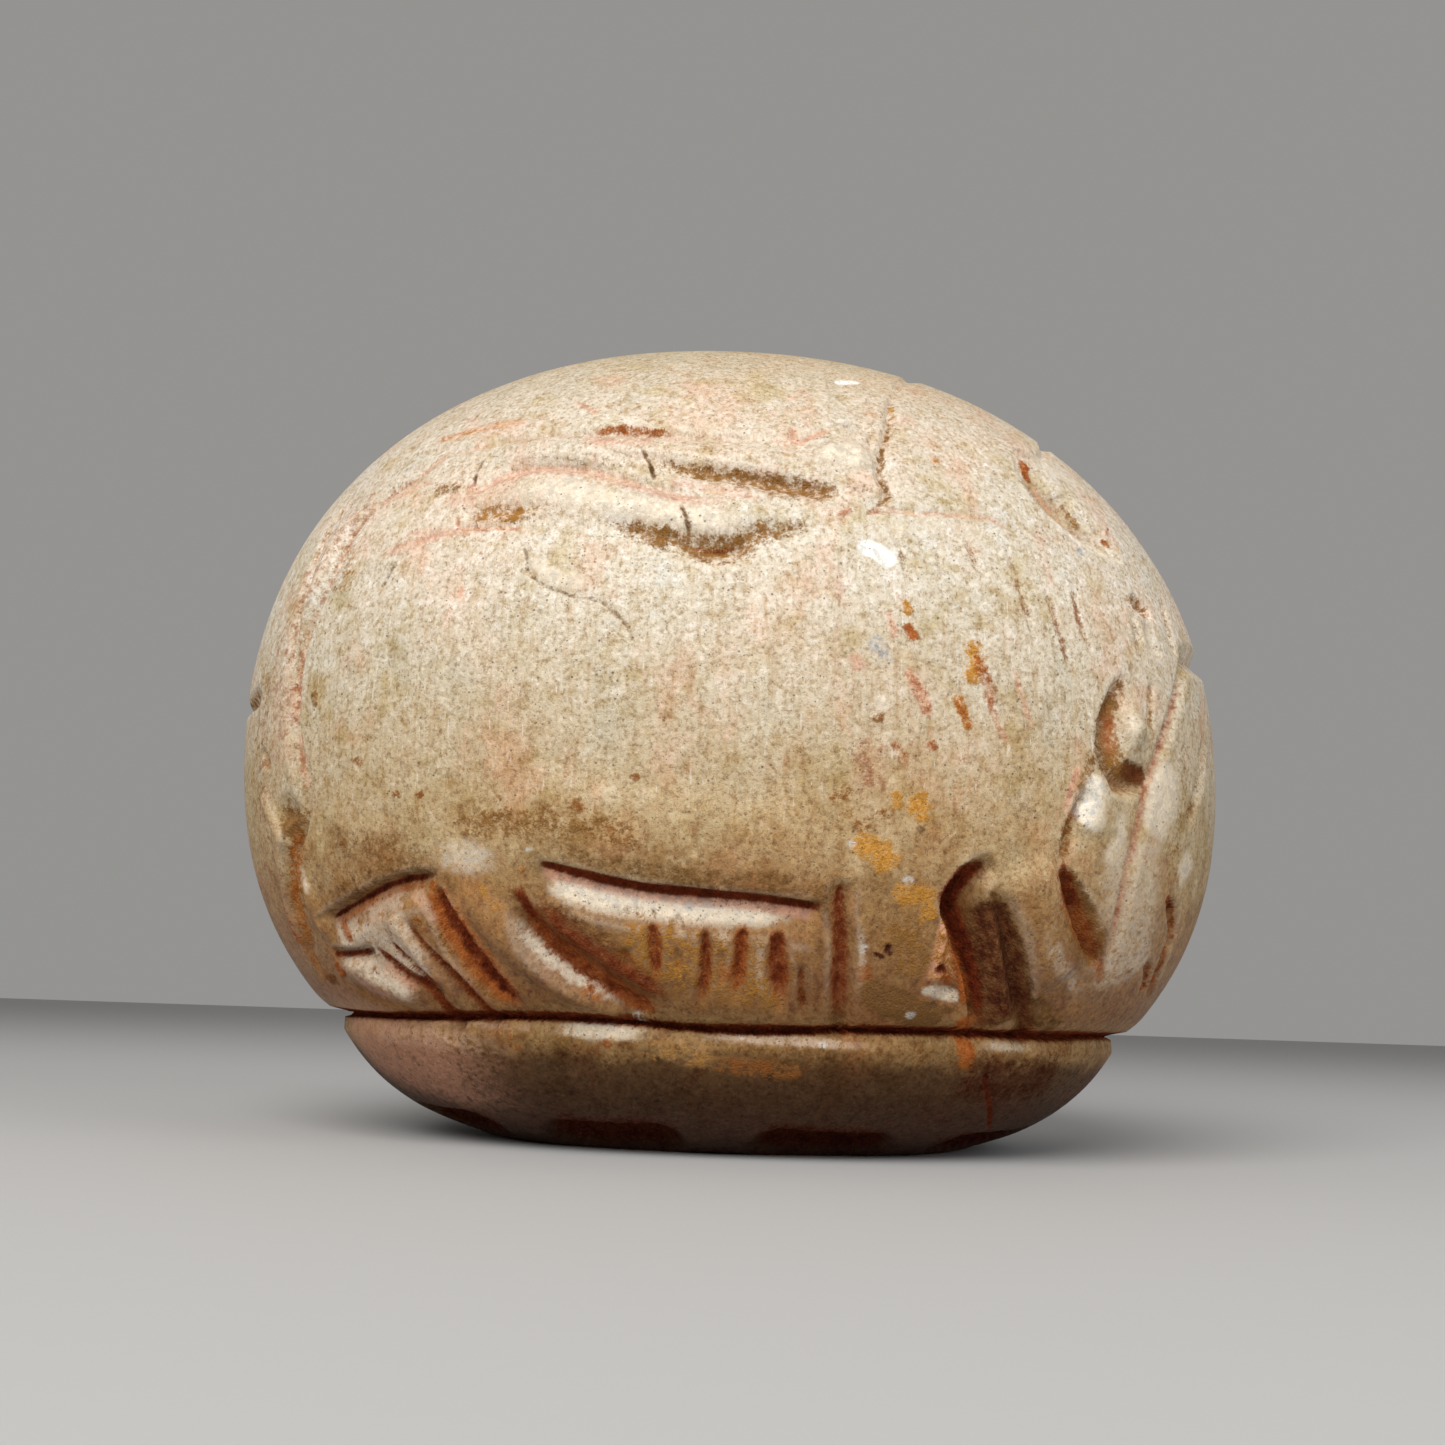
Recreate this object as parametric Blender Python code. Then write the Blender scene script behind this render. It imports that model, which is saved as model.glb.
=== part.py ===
"""Scarab seal bead: a beetle carved in stone on a shallow convex base, bored lengthwise for its string.

The body is a superellipsoid about one centre, so every point of the surface is a direction and a radius.
Each line of the carving is a path over that body, which takes material away or leaves a ridge.
"""

import math

import bmesh
import bpy
import numpy as np

# Driving dimensions in metres. The head is at +X, and the bead rests on the flat spot at Z = 0.
LENGTH = 0.0600
WIDTH = 0.0456
HEIGHT = 0.0492
FLAT_LENGTH = 0.0280
GROOVE_HEIGHT = 0.0068
GROOVE_WIDTH = 0.0009
GROOVE_DEPTH = 0.0010
BORE_DIAMETER = 0.0035
BORE_HEIGHT = 0.0180
MOUTH_DIAMETER = 0.0050
MOUTH_LENGTH = 0.0015
RIM_SCOOPS = 10

# Form of the body, as shares and exponents: 2 is an ellipse, and more is squarer.
EQUATOR = 0.466 * HEIGHT
FLANK_DEPTH = 0.491 * HEIGHT
CAP_SHARE = 0.863
PLAN_CORNER = 2.2
DOME_CORNER = 2.16
FLANK_CORNER = 2.29
CAP_CORNER = 3.5
LEAN = 0.024

# The carving is drawn to the scale of the bead: one unit is a sixtieth of its length.
UNIT = LENGTH / 60

# The body is carved on a mesh with these edge lengths, in units: on plain stone, at the narrowest cut, and the
# growth away from a cut. The carved mesh is then thinned to the triangle count.
PLAIN_EDGE = 3.0
FINE_EDGE = 0.4
EDGE_GROWTH = 0.5
START_SUBDIVISIONS = 4
MOST_ROUNDS = 14
TRIANGLES = 9200
BORE_SIDES = 20


class Cut:
    """One stroke of the carving, or a ridge left standing where its depth is negative.

    The path is a list of (around, up) in degrees on the body as a globe: around is 0 at the head, 90 at
    the side and 180 at the tail. Both sides of the bead are alike. Depth and widths are in units, one
    number or several spread along the path; left and right are the widths on each side of the path, as
    someone who looks at the bead and goes along the path has them. Power 1 is a V and 2 a round hollow.
    """

    def __init__(self, path, depth, left, right=None, fade=(0.15, 0.15), power=1.0):
        self.depth = depth
        self.left = left
        self.right = left if right is None else right
        self.fade = fade
        self.power = power
        self.points = smooth_path([globe(around, up) for around, up in path])
        self.points *= body_radius(self.points)[:, None]
        self.share = np.linspace(0, 1, len(self.points))
        self.reach = UNIT * max(np.max(self.left), np.max(self.right))
        self.edge = UNIT * max(FINE_EDGE, 0.3 * min(np.mean(self.left), np.mean(self.right)) + 0.2)

    def near(self, points, margin):
        """Which of the points may lie within the margin of this cut."""
        middle = (self.points.max(0) + self.points.min(0)) / 2
        size = np.linalg.norm(self.points - middle, axis=1).max()
        return np.linalg.norm(points - middle, axis=1) < size + margin

    def measure(self, points):
        """Distance of each point to the path, its depth there, and the width on its side."""
        starts = self.points[:-1]
        runs = np.diff(self.points, axis=0)
        offsets = points[:, None] - starts
        along = np.einsum("nsk,sk->ns", offsets, runs) / (runs**2).sum(1)
        along = along.clip(0, 1)
        offsets -= along[:, :, None] * runs
        distances = np.linalg.norm(offsets, axis=2)
        nearest = distances.argmin(1)
        each = np.arange(len(points))
        offset = offsets[each, nearest]
        side = (np.cross(runs[nearest], offset) * points).sum(1)
        share = (nearest + along[each, nearest]) / len(runs)
        width = np.where(side > 0, spread(self.left, share), spread(self.right, share))
        depth = spread(self.depth, share)
        if self.fade[0]:
            depth = depth * np.minimum(1, share / self.fade[0])
        if self.fade[1]:
            depth = depth * np.minimum(1, (1 - share) / self.fade[1])
        return distances[each, nearest], depth * UNIT, width * UNIT


def spread(value, share):
    """A number, or numbers spread evenly along a path, read at each share of the path."""
    values = np.atleast_1d(value)
    return np.interp(share, np.linspace(0, 1, len(values)), values)


def globe(around, up):
    """Direction from the body's centre to a place given in degrees around and up."""
    flat = math.cos(math.radians(up))
    x = LENGTH / 2 * flat * math.cos(math.radians(around))
    y = -WIDTH / 2 * flat * math.sin(math.radians(around))
    reach = HEIGHT - EQUATOR if up > 0 else EQUATOR
    return unit_vectors(np.array([[x, y, reach * math.sin(math.radians(up))]]))[0]


def under(along, across):
    """Globe angles of a place on the flat spot, in shares of the half-length and half-width."""
    return math.degrees(math.atan2(across, along)), -math.degrees(math.atan2(1, math.hypot(along, across)))


def unit_vectors(vectors):
    return vectors / np.linalg.norm(vectors, axis=-1, keepdims=True)


def smooth_path(points, steps=4):
    """Directions along a smooth curve through the given ones."""
    points = np.array(points)
    ends = np.vstack([2 * points[:1] - points[1:2], points, 2 * points[-1:] - points[-2:-1]])
    curve = []
    for before, start, end, after in zip(ends, ends[1:], ends[2:], ends[3:]):
        for t in np.arange(steps) / steps:
            curve.append(
                0.5 * (2 * start + (end - before) * t
                       + (2 * before - 5 * start + 4 * end - after) * t**2
                       + (3 * start - before - 3 * end + after) * t**3)
            )
    return unit_vectors(np.array(curve + [points[-1]]))


def superellipsoid(directions, share, rise, corner):
    """Radius of a superellipsoid about the body's centre, as long and wide as a share of the bead."""
    x = np.abs(directions[:, 0] + LEAN * directions[:, 2]) / (share * LENGTH / 2)
    y = np.abs(directions[:, 1]) / (share * WIDTH / 2)
    plan = (x**PLAN_CORNER + y**PLAN_CORNER) ** (1 / PLAN_CORNER)
    return (plan**corner + (np.abs(directions[:, 2]) / rise) ** corner) ** (-1 / corner)


def above_groove(directions, radius):
    """Height over the base groove of a surface point."""
    return EQUATOR + radius * directions[:, 2] - GROOVE_HEIGHT


def body_radius(directions):
    """Radius of the uncarved body: dome, flank, then the base cap with its flat spot."""
    dome = superellipsoid(directions, 1, HEIGHT - EQUATOR, DOME_CORNER)
    flank = superellipsoid(directions, 1, FLANK_DEPTH, FLANK_CORNER)
    flat_share = FLAT_LENGTH / (CAP_SHARE * LENGTH)
    cap_depth = EQUATOR / (1 - flat_share**CAP_CORNER) ** (1 / CAP_CORNER)
    cap = superellipsoid(directions, CAP_SHARE, cap_depth, CAP_CORNER)
    radius = np.where(directions[:, 2] > 0, dome, flank)
    radius = np.where(above_groove(directions, radius) > 0, radius, cap)
    down = np.maximum(-directions[:, 2], 1e-6)
    return np.minimum(radius, EQUATOR / down)


def cut_base_groove(points):
    """Points moved level into the body by the groove round the base, the rolled flank and the bevelled lip."""
    height = EQUATOR + points[:, 2] - GROOVE_HEIGHT
    slot = GROOVE_DEPTH * (1 - (2 * height / GROOVE_WIDTH) ** 2).clip(0)
    roll = 0.4 * UNIT * (1 - height / (1.2 * UNIT)).clip(0, 1) ** 2
    bevel = 0.6 * UNIT * (1 + height / UNIT).clip(0, 1)
    inset = slot + np.where(height > 0, roll, bevel)
    level = points * (1, 1, 0)
    level /= np.maximum(np.linalg.norm(level, axis=1), UNIT)[:, None]
    return points - level * inset[:, None]


def hind_leg():
    """Folded leg under the tail: the line over it, its hatching and the wide groove that ends it."""
    cuts = [
        Cut([(137.9, -27.3), (128.6, -24), (119.3, -22)], 1.2, 0.3, 1.6),
        Cut([(140.5, -32), (132, -31.8)], 1.0, 0.4),
        Cut([(138, -35.5), (128, -38)], -0.5, 1.3, power=2),
        Cut([(120.2, -23.3), (117.7, -31.2), (113.5, -39.3)], (1.2, 2.0, 1.2), 0.4, 1.4),
    ]
    for step in range(3):
        start = (133 - 4.3 * step, -31 + step)
        bend = (129.8 - 4.0 * step, -35.2 + 0.6 * step)
        end = (124.9 - 2.9 * step, -39.6)
        cuts.append(Cut([start, bend, end], (0.3, 0.5, 1.0), (0.35, 0.8), fade=(0.3, 0)))
    return cuts


def middle_leg():
    """Smooth slanting band, with a wide groove behind it that runs down to the base."""
    return [
        Cut([(116.5, -24), (113.6, -30), (103, -38.8)], -0.45, 1.1, power=2),
        Cut([(110.9, -24.1), (106.6, -32.3), (97.1, -39.6)], (1.0, 1.9, 0.6), 1.7, 0.5),
    ]


def wing_edge():
    """Undercut edge of the wing case, with the ledge and the upright bristles below it."""
    cuts = [
        Cut([(108.7, -20.8), (98.6, -23.6), (80.6, -25.3)], 1.6, 0.3, 1.9, fade=(0.1, 0.05)),
        Cut([(112, -15), (96, -18.5), (80, -19)], -0.35, 2.6, power=2),
        Cut([(78.8, -20.5), (78.3, -27), (75.8, -39.5)], 0.8, 0.8),
    ]
    for around in np.linspace(97.5, 84.0, 4):
        cuts.append(Cut([(around, -27.5), (around, -37.5)], 0.6, 0.55))
    return cuts


def front_leg():
    """Blocked knee with its sunk facet, the deep groove beside it, and the round foreleg."""
    return [
        Cut([(68, -26.2), (65.3, -35.7)], (0.3, 1.1), (0.3, 1.5), fade=(0, 0)),
        Cut([(63.2, -18.2), (67, -23.6), (63.1, -31.3), (57.9, -41.4), (55.2, -45.5)],
            (0.9, 2.0, 2.2, 1.7, 0.7), 2.4, 0.6),
        Cut([(60.9, -26), (58, -30.4), (55.4, -35.2), (50, -40.4)], 1.0, 0.7),
        Cut([(58.5, -20), (55.6, -26.3), (51.8, -32.5), (48.5, -36.5)], -0.6, 1.8, power=2),
        Cut([(55.8, -18.5), (52.5, -23.8), (46.6, -30.1), (44.6, -32.4)], (0.9, 1.2, 0.7), (0.4, 0.9, 0.4)),
    ]


def head():
    """Eye in its recess, the cheek, and the plates of the head, which meet in front of it."""
    return [
        Cut([(47.5, 6), (50.8, 0), (50.4, -5.5), (46.6, -7.4)], (0.6, 1.5, 1.5, 1.2), 1.5, 0.45),
        Cut([(46.2, 3), (46, -3.6)], -1.0, 0.9, power=2),
        Cut([(51.8, -1), (54.9, -11.5), (55.9, -18.1)], 0.4, 0.6),
        Cut([(51.9, -6), (52.2, -13.6)], -0.4, 1.3, power=2),
        Cut([(0, 13.5), (16, 13), (32.3, 9.5)], 0.7, 1.0, fade=(0, 0)),
        Cut([(32.3, 9.5), (40, 2.7), (43.5, -6.4), (45.8, -18), (44.4, -32.4)], 0.5, 0.55, fade=(0, 0.1)),
        Cut([(29.3, 1), (34.6, -11.5), (36.6, -17)], 0.35, 0.6),
        Cut([(36.9, -20.9), (32.5, -24.6), (26.2, -36.2)], 0.9, 0.6),
        Cut([(35.3, -28.6), (31, -34.5)], 0.5, 0.5),
        Cut([(42.6, 15.1), (41.4, 15.1)], 0.6, 0.7, fade=(0, 0)),
        Cut([(0, 13), (0, 4)], 0.6, 0.8, fade=(0, 0.5)),
    ]


def pronotum():
    """Lines round the front shield of the back, and the hollow at its shoulder."""
    return [
        Cut([(0, 73), (40, 63), (67.2, 44.6), (74.7, 29.7), (77.6, 21)], 0.6, 0.6, fade=(0, 0.1)),
        Cut([(78.3, 20.8), (70.8, 23.4), (60.6, 22.4), (57, 19.5)], 0.3, 0.5),
        Cut([(52.3, 35.3), (54, 28.5), (49.7, 23.4), (42, 21.1)], (0.9, 1.4, 1.3, 0.8), 3.2, 0.35, power=1.5),
        Cut([(52.3, 35.3), (34, 45), (0, 50)], 0.5, 0.6, fade=(0, 0)),
    ]


def wing_cases():
    """Line down the middle of the back, and the folds along its sides."""
    return [
        Cut([(180, 10), (180, 45), (180, 80), (0, 74)], 0.7, 0.6, fade=(0.2, 0)),
        Cut([(136, 24), (128.8, 28.9), (115.9, 32.9), (104, 32.3), (89.7, 31.9), (79, 32.4)], 0.35, 0.5),
        Cut([(107.8, 33.1), (98.5, 32.8)], 0.9, 0.4, 1.0),
        Cut([(121.8, 22.1), (112.5, 26.9), (100, 27), (90.8, 25.7), (79, 24.3)], (0.3, 0.5, 0.6), 0.8),
        Cut([(116, 22.8), (102.5, 21.9), (94, 20), (84, 22)], -0.6, 1.7, power=2),
        Cut([(121, 21), (110, 21), (103.5, 18.8), (96, 15.5), (90.5, 15.5), (85, 19.2), (79, 20.6)],
            (0.7, 0.4, 0.5, 0.7, 0.7, 0.5, 0.4), 1.1, 0.9),
    ]


def tail():
    """Folded rim of the wing cases round the tail, its hollow, and the notch across the end."""
    return [
        Cut([(133.7, 25.6), (136.4, 15.9), (139.2, 4), (136.6, -10), (143.6, -24), (145, -36)], 0.55, 0.6),
        Cut([(141.3, -11), (142.3, -18)], 1.0, 1.1),
        Cut([(140.8, 30), (145.6, 18.3), (143.3, 3.6)], 0.4, 0.6),
        Cut([(150, 2), (180, 2)], 0.6, 0.5, 1.3, fade=(0.2, 0)),
    ]


def rim_scoops():
    """Round hollows along the rim of the base."""
    cuts = []
    for scoop in range(RIM_SCOOPS):
        around = 360 / RIM_SCOOPS * scoop
        if around <= 180:
            cuts.append(Cut([(around - 7, -60), (around + 7, -60)], 1.2, 1.1, fade=(0, 0), power=2))
    return cuts


def seal_face():
    """Sunk design of the flat spot: an oval border, and rows of short strokes each side of a plain band."""
    flat_share = FLAT_LENGTH / LENGTH
    border = [under(0.84 * flat_share * math.cos(turn), 0.84 * flat_share * math.sin(turn))
              for turn in np.linspace(0, math.pi, 9)]
    cuts = [Cut(border, 0.5, 0.5, fade=(0, 0))]
    for across, count in ((0.26, 5), (0.5, 3)):
        for along in (np.arange(count) - (count - 1) / 2) * 0.25:
            start = under((along - 0.05) * flat_share, (across - 0.09) * flat_share)
            end = under((along + 0.05) * flat_share, (across + 0.09) * flat_share)
            cuts.append(Cut([start, end], 0.5, 0.5, fade=(0, 0)))
    return cuts


def carve(directions, cuts):
    """Surface points of the carved body, and the mesh size that each place needs."""
    shown = directions * np.where(directions[:, 1:2] > 0, (1, -1, 1), (1, 1, 1))
    radius = body_radius(shown)
    points = shown * radius[:, None]
    depth = np.zeros(len(points))
    ridge = np.zeros(len(points))
    edge = np.full(len(points), PLAIN_EDGE * UNIT)
    for cut in cuts:
        near = np.flatnonzero(cut.near(points, cut.reach + PLAIN_EDGE * UNIT / EDGE_GROWTH))
        if not len(near):
            continue
        distance, cut_depth, width = cut.measure(points[near])
        hollow = cut_depth * (1 - (distance / width).clip(0, 1) ** cut.power)
        depth[near] = np.maximum(depth[near], hollow)
        ridge[near] = np.maximum(ridge[near], -hollow)
        size = cut.edge + EDGE_GROWTH * (distance - width).clip(0)
        edge[near] = np.minimum(edge[near], size)
    radius += ridge - depth
    edge = np.minimum(edge, UNIT * FINE_EDGE + EDGE_GROWTH * np.abs(above_groove(shown, radius)))
    return cut_base_groove(directions * radius[:, None]), edge


def split_long_edges(directions, triangles, cuts):
    """Halves the edges that are longer than their place allows. It returns None once there are none."""
    corners = triangles[:, [0, 1, 1, 2, 2, 0]].reshape(-1, 2)
    edges, of_triangle = np.unique(np.sort(corners, axis=1), axis=0, return_inverse=True)
    of_triangle = of_triangle.reshape(-1, 3)
    middles = unit_vectors(directions[edges].sum(1))
    angles = np.linalg.norm(directions[edges[:, 0]] - directions[edges[:, 1]], axis=1)
    lengths = angles * body_radius(directions)[edges].min(1)
    split = lengths > FINE_EDGE * UNIT
    split[split] = lengths[split] > carve(middles[split], cuts)[1]
    if not split.any():
        return None
    longest = of_triangle[np.arange(len(triangles)), lengths[of_triangle].argmax(1)]
    while True:
        missing = split[of_triangle].any(1) & ~split[longest]
        if not missing.any():
            break
        split[longest[missing]] = True
    new_index = np.full(len(edges), -1)
    new_index[split] = len(directions) + np.arange(split.sum())
    turn = lengths[of_triangle].argmax(1)[:, None] + np.arange(3)
    a, b, c = np.take_along_axis(triangles, turn % 3, axis=1).T
    ab, bc, ca = new_index[np.take_along_axis(of_triangle, turn % 3, axis=1)].T
    whole, first, last = ab < 0, bc < 0, ca < 0
    parts = [
        triangles[whole],
        np.stack([ab, b, c], 1)[~whole & first],
        np.stack([ab, b, bc], 1)[~whole & ~first],
        np.stack([ab, bc, c], 1)[~whole & ~first],
        np.stack([ab, c, a], 1)[~whole & last],
        np.stack([ab, c, ca], 1)[~whole & ~last],
        np.stack([ab, ca, a], 1)[~whole & ~last],
    ]
    return np.vstack([directions, middles[split]]), np.vstack(parts)


def carved_mesh(cuts):
    """The carved body as a mesh whose edges are short along the cuts and long on plain stone."""
    ball = bmesh.new()
    bmesh.ops.create_icosphere(ball, subdivisions=START_SUBDIVISIONS, radius=1)
    stretch = np.array([LENGTH / 2, WIDTH / 2, HEIGHT / 2])
    directions = unit_vectors(np.array([vert.co for vert in ball.verts]) * stretch)
    triangles = np.array([[vert.index for vert in face.verts] for face in ball.faces])
    ball.free()
    for _ in range(MOST_ROUNDS):
        finer = split_long_edges(directions, triangles, cuts)
        if finer is None:
            break
        directions, triangles = finer
    points = carve(directions, cuts)[0] + (0, 0, EQUATOR)
    mesh = bpy.data.meshes.new("scarab_bead")
    mesh.from_pydata(points.tolist(), [], triangles.tolist())
    return mesh


def bore_cutter():
    """Round cutter for the string bore, with a worn funnel at each mouth."""
    overrun = 2 * UNIT
    mouth = (MOUTH_DIAMETER - BORE_DIAMETER) / 2
    outside = LENGTH / 2 + overrun
    inside = LENGTH / 2 - MOUTH_LENGTH
    wide = BORE_DIAMETER / 2 + mouth * (outside - inside) / MOUTH_LENGTH
    cutter = bmesh.new()
    rings = []
    for x, radius in ((-outside, wide), (-inside, BORE_DIAMETER / 2), (inside, BORE_DIAMETER / 2), (outside, wide)):
        turns = 2 * math.pi * np.arange(BORE_SIDES) / BORE_SIDES
        rings.append([
            cutter.verts.new((x, radius * math.cos(turn), BORE_HEIGHT + radius * math.sin(turn)))
            for turn in turns
        ])
    for left, right in zip(rings, rings[1:]):
        for side in range(BORE_SIDES):
            following = (side + 1) % BORE_SIDES
            cutter.faces.new((left[side], left[following], right[following], right[side]))
    cutter.faces.new(reversed(rings[0]))
    cutter.faces.new(rings[-1])
    bmesh.ops.recalc_face_normals(cutter, faces=cutter.faces)
    mesh = bpy.data.meshes.new("string_bore_cutter")
    cutter.to_mesh(mesh)
    cutter.free()
    return mesh


def stone():
    """Warm cream stone, matt with a slight polish."""
    material = bpy.data.materials.new("stone")
    material.use_nodes = True
    shader = material.node_tree.nodes["Principled BSDF"]
    shader.inputs["Base Color"].default_value = (0.60, 0.46, 0.30, 1)
    shader.inputs["Roughness"].default_value = 0.55
    shader.inputs["Metallic"].default_value = 0
    material.diffuse_color = (0.60, 0.46, 0.30, 1)
    return material


def add_object(name, mesh):
    placed = bpy.data.objects.new(name, mesh)
    bpy.context.scene.collection.objects.link(placed)
    return placed


def build():
    for old in list(bpy.data.objects):
        bpy.data.objects.remove(old)
    cuts = (hind_leg() + middle_leg() + wing_edge() + front_leg() + head() + pronotum()
            + wing_cases() + tail() + rim_scoops() + seal_face())
    mesh = carved_mesh(cuts)
    mesh.materials.append(stone())
    mesh.shade_smooth()
    mesh.set_sharp_from_angle(angle=math.radians(35))
    bead = add_object("scarab_bead", mesh)
    cutter = add_object("string_bore_cutter", bore_cutter())
    cutter.hide_render = True
    cutter.display_type = "WIRE"
    fewer = bead.modifiers.new("fewer triangles", "DECIMATE")
    fewer.ratio = TRIANGLES / len(mesh.polygons)
    bore = bead.modifiers.new("string bore", "BOOLEAN")
    bore.operation = "DIFFERENCE"
    bore.solver = "EXACT"
    bore.object = cutter


build()
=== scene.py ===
"""Dressed scarab bead: the carved stone in fine relief, with its earth, veins, chips and wear, and painted
shade and highlights.

The body and the main strokes follow the solid's own rules: a superellipsoid about one centre, so that every
point of the surface is a direction and a radius, and each stroke is a path over it. Places on the bead are
(around, up) in degrees on the body as a globe: around is 0 at the head, 90 at the side and 180 at the tail.
"""

import math
from types import SimpleNamespace

import bmesh
import bpy
import numpy as np
from mathutils import Matrix, Vector, noise


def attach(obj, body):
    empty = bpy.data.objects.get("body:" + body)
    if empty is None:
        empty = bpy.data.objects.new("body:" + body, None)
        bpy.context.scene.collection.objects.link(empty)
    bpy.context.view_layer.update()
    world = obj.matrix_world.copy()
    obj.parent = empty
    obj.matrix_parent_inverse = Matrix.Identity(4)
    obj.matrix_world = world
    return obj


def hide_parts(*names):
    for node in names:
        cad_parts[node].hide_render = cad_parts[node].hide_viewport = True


# Size of the bead in metres, as in the solid.
LENGTH = 0.0600
WIDTH = 0.0456
HEIGHT = 0.0492
FLAT_LENGTH = 0.0280
GROOVE_HEIGHT = 0.0068
BORE_DIAMETER = 0.0035
BORE_HEIGHT = 0.0180
MOUTH_DIAMETER = 0.0050
MOUTH_LENGTH = 0.0015

# The groove round the base, finer than in the solid.
GROOVE_WIDTH = 0.0005
GROOVE_DEPTH = 0.0007

# Form of the body, as shares and exponents: 2 is an ellipse, and more is squarer.
EQUATOR = 0.466 * HEIGHT
FLANK_DEPTH = 0.491 * HEIGHT
CAP_SHARE = 0.863
PLAN_CORNER = 2.2
DOME_CORNER = 2.16
FLANK_CORNER = 2.29
CAP_CORNER = 3.5
LEAN = 0.024

# Strokes are drawn to the scale of the bead: one unit is a sixtieth of its length, here a millimetre.
UNIT = LENGTH / 60

# How far the groove wavers, by what share its width varies, and how far in and how high the rolled flank
# above it and the bevelled lip below it go.
GROOVE_WAVER = 0.10 * UNIT
GROOVE_VARIES = 0.25
ROLL_DEPTH = 0.4 * UNIT
ROLL_HEIGHT = 1.2 * UNIT
BEVEL_DEPTH = 0.6 * UNIT
BEVEL_HEIGHT = UNIT

# Share of the groove's depth that counts as flank or lip, and how much near-black painted shade lies in the
# rest.
LIP_SHARE = 0.4
SLOT_SHADE = 0.35

# Scoops along the rim of the base: how many, their place in degrees, and their depth and width in units.
RIM_SCOOPS = 10
SCOOP_UP = -58
SCOOP_HALF_TURN = 7
SCOOP_DEPTH = 1.1
SCOOP_WIDTH = 1.9

# Seal face, in shares of the flat spot: the border, the rows of strokes as (place across, count), the step
# along a row, and half a stroke's run along and across. Depth and width are in units.
BORDER_SHARE = 0.84
SEAL_ROWS = ((0.26, 5), (0.5, 3))
SEAL_STEP = 0.25
SEAL_STROKE = (0.05, 0.09)
SEAL_DEPTH = 0.5
SEAL_WIDTH = 0.5

# Hollows of a hand-rubbed surface in units, broad ones and small ones: how far across and how deep.
HOLLOWS = ((7, 0.09), (1.6, 0.022))

# Mesh edges in units: on plain stone, at the narrowest stroke and at the base groove. At a wider stroke they
# are a share of its width and a little more, and away from a stroke they grow with the distance.
PLAIN_EDGE = 1.1
FINE_EDGE = 0.22
GROOVE_EDGE = 0.26
EDGE_SHARE = 0.24
EDGE_EXTRA = 0.14
EDGE_GROWTH = 0.7

# How much longer the edges are on the far side, and how far past the middle plane that side starts.
FAR_EDGE = 1.7
FAR_START = 0.02

# Divisions of the ball that the mesh starts from, the most rounds of halving its edges, and the bore's sides.
START_SUBDIVISIONS = 5
MOST_ROUNDS = 14
BORE_SIDES = 48

# Distance from the groove, or from the flat spot, that still counts as part of it.
MARGIN = 0.2 * UNIT

# How far the worn rim of a stroke reaches to each side.
RIM_WEAR = 0.3 * UNIT

# Share of its near width that a stroke moves along the line of sight, so that its near edge hides none of it.
NEAR_SHARE = 0.6

# Steps that bring a point along the line of sight to the surface, and the least that the surface faces it.
SIGHT_STEPS = 4
LEAST_FACING = 0.4

# Least values that keep a division from zero: of a move in metres, and of a downward direction.
LEAST_MOVE = 0.01 * UNIT
LEAST_DOWN = 1e-6

# What lies on the stone, from the lowest layer up, with painted shade and painted highlights among it: its
# linear colour, and how much it breaks up into grains.
STAINS = {
    # The next colour is pale stone, partly worn places and partly painted highlights on ridges, ledges and
    # lips that face the light.
    "pale": ((0.740, 0.640, 0.500), 0.6),
    # The next colour is painted shade: dark grey-brown where the stone lies in shadow, under overhangs and on
    # slopes turned from the light.
    "dusk": ((0.150, 0.075, 0.028), 0.5),
    "umber": ((0.270, 0.130, 0.040), 1.1),
    "rose": ((0.600, 0.300, 0.190), 0.5),
    "ochre": ((0.540, 0.250, 0.045), 1.2),
    "rust": ((0.340, 0.095, 0.022), 0.7),
    "earth": ((0.160, 0.028, 0.009), 0.45),
    # The next colour is near-black at the bottoms of cuts, partly dark residue and partly painted shade.
    "soot": ((0.050, 0.010, 0.006), 0.45),
    "chalk": ((0.880, 0.860, 0.800), 0.7),
    "slate": ((0.330, 0.340, 0.350), 0.9),
}

# Stains and painted shade that are made rough and matt.
EARTHY = ("dusk", "umber", "rust", "ochre", "earth", "soot")

# Linear colours of scratches, worn rims, dirt and specks, and what sunk places multiply the colour by.
SCRATCH_COLOUR = (0.82, 0.77, 0.68)
RIM_COLOUR = (0.80, 0.72, 0.58)
DIRT_COLOUR = (0.120, 0.065, 0.030)
SPECK_COLOUR = (0.075, 0.052, 0.038)
SUNK_TINT = (0.62, 0.40, 0.24)

# The stone's colour at heights in metres, linear, partly its own and partly painted shade: earth-brown and
# darkest at the base, where shade falls, tan at the legs, cream and honey above, and darker again at the top
# edge, which the light reaches less.
STONE_AND_SHADE_BY_HEIGHT = (
    (0.0000, (0.065, 0.030, 0.020)),
    (0.0030, (0.065, 0.032, 0.015)),
    (0.0048, (0.100, 0.052, 0.022)),
    (0.0055, (0.250, 0.145, 0.058)),
    (0.0066, (0.320, 0.195, 0.080)),
    (0.0080, (0.225, 0.100, 0.026)),
    (0.0130, (0.310, 0.168, 0.054)),
    (0.0165, (0.430, 0.310, 0.155)),
    (0.0230, (0.530, 0.445, 0.315)),
    (0.0310, (0.640, 0.580, 0.475)),
    (0.0400, (0.620, 0.540, 0.430)),
    (0.0475, (0.480, 0.390, 0.250)),
)

# Strength and height of the grain in the material's bump.
BUMP_STRENGTH = 0.6
BUMP_HEIGHT = 0.10 * UNIT

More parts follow.
